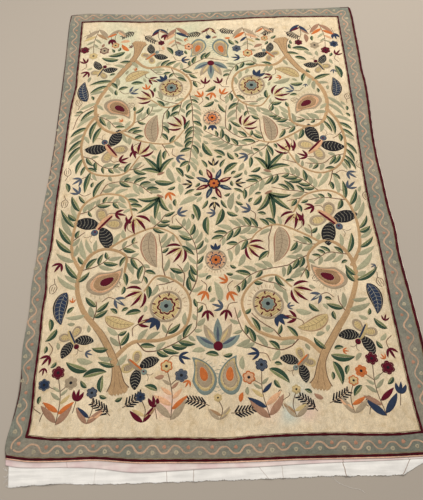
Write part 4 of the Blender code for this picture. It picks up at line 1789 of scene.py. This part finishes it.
def makeStrip():
    shares = np.array((1.0, 0.985, 0.94, 0.86, 0.74, 0.62, 0.50, 0.30, 0.0))[:, None]
    count = stripLook["columns"]
    fray = np.random.default_rng(5).uniform(-1.0, 1.0, count) * stripLook["fray"]
    fray += 0.5 * stripLook["fray"] * np.sin(np.arange(count) * 0.31)
    leftHead, leftRaw = clothSizes["liningLeftHead"], clothSizes["liningLeftRaw"]
    leftEnd = leftHead + (leftRaw - leftHead) * shares
    x = leftEnd + (clothSizes["liningRight"] - leftEnd) * np.linspace(0.0, 1.0, count)[None, :]
    top = stitchFootY(x) + clothSizes["liningTuck"]
    raw = np.interp(x, rawEdge[:, 0], rawEdge[:, 1])
    y = top + (raw - top) * shares
    y[0] += fray * np.interp(x[0], (0.485, 0.500), (1.0, 0.3))
    z = stripRise(x, y, shares) + clothSizes["lining"]
    verts = np.stack([x, y, z], axis=-1).reshape(-1, 3)
    # painted shadow lines along the darker creases
    lines = [(headX, -0.930, rawX, -0.970, darkness)
             for headX, rawX, _, _, darkness in stripCreases if darkness]
    finish = cottonFinish("white cotton", stripLook["white"], pitch=0.0009, creases=lines, rumpled=True)
    item = meshPiece("cotton_strip", verts, gridFaces(len(shares), count), [finish], verts[:, :2])
    thicken(item, clothSizes["lining"] - 0.0001)
    return item


def spinThread(verts, faces, points, radius):
    # a thin square tube along the points
    path = np.asarray(points, dtype=float)
    tangent = np.gradient(path, axis=0)
    tangent /= np.maximum(np.linalg.norm(tangent, axis=1), 1e-9)[:, None]
    upright = np.array((0.0, 0.0, 1.0))
    side = np.cross(tangent, upright)
    side /= np.maximum(np.linalg.norm(side, axis=1), 1e-9)[:, None]
    first = len(verts)
    for k, point in enumerate(path):
        for corner in range(4):
            turn = corner * math.pi / 2
            verts.append(point + radius * (math.cos(turn) * side[k] + math.sin(turn) * upright))
    for k in range(len(path) - 1):
        for corner in range(4):
            a, b = first + 4 * k + corner, first + 4 * k + (corner + 1) % 4
            faces.append((a, b, b + 4, a + 4))


def makeThreads():
    # loose threads along the raw edge, a tuft at the left end and one long stray thread
    draw = random.Random(9)
    verts, faces = [], []
    for _ in range(stripLook["threads"]):
        x = draw.uniform(-0.580, 0.500)
        y = float(np.interp(x, rawEdge[:, 0], rawEdge[:, 1])) + 0.002
        heading = -math.pi / 2 + draw.uniform(-1.2, 1.2)
        length = draw.uniform(*stripLook["threadLength"])
        bend = draw.uniform(-1.0, 1.0)
        points = [(*away((x, y), heading + bend * t, length * t), 0.0009 * (1.0 - t) + 0.0003)
                  for t in np.linspace(0.0, 1.0, 5)]
        spinThread(verts, faces, points, stripLook["threadRadius"])
    for _ in range(stripLook["tuft"]):
        y = draw.uniform(-0.978, -0.930)
        length = draw.uniform(*stripLook["tuftLength"])
        endX = -0.584 - 0.2 * (y + 0.978)
        points = [(endX - length * t, y + 0.004 * math.sin(3.0 * t + y * 90.0), 0.0008 * (1.0 - t) + 0.0003)
                  for t in np.linspace(0.0, 1.0, 6)]
        spinThread(verts, faces, points, stripLook["threadRadius"])
    stray = smoothPath(stripLook["stray"], 0.004)
    spinThread(verts, faces, [(x, y, 0.0005) for x, y in stray], 0.00028)
    return meshPiece("loose_threads", verts, faces, [cottonFinish("cotton thread", stripLook["white"])])


strip = makeStrip()
threads = makeThreads()
print("cotton strip made")


# what stands for what

for piece in (ground, strip, threads):
    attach(piece, "root")
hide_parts("embroidered_panel")
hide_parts("lining_strip")
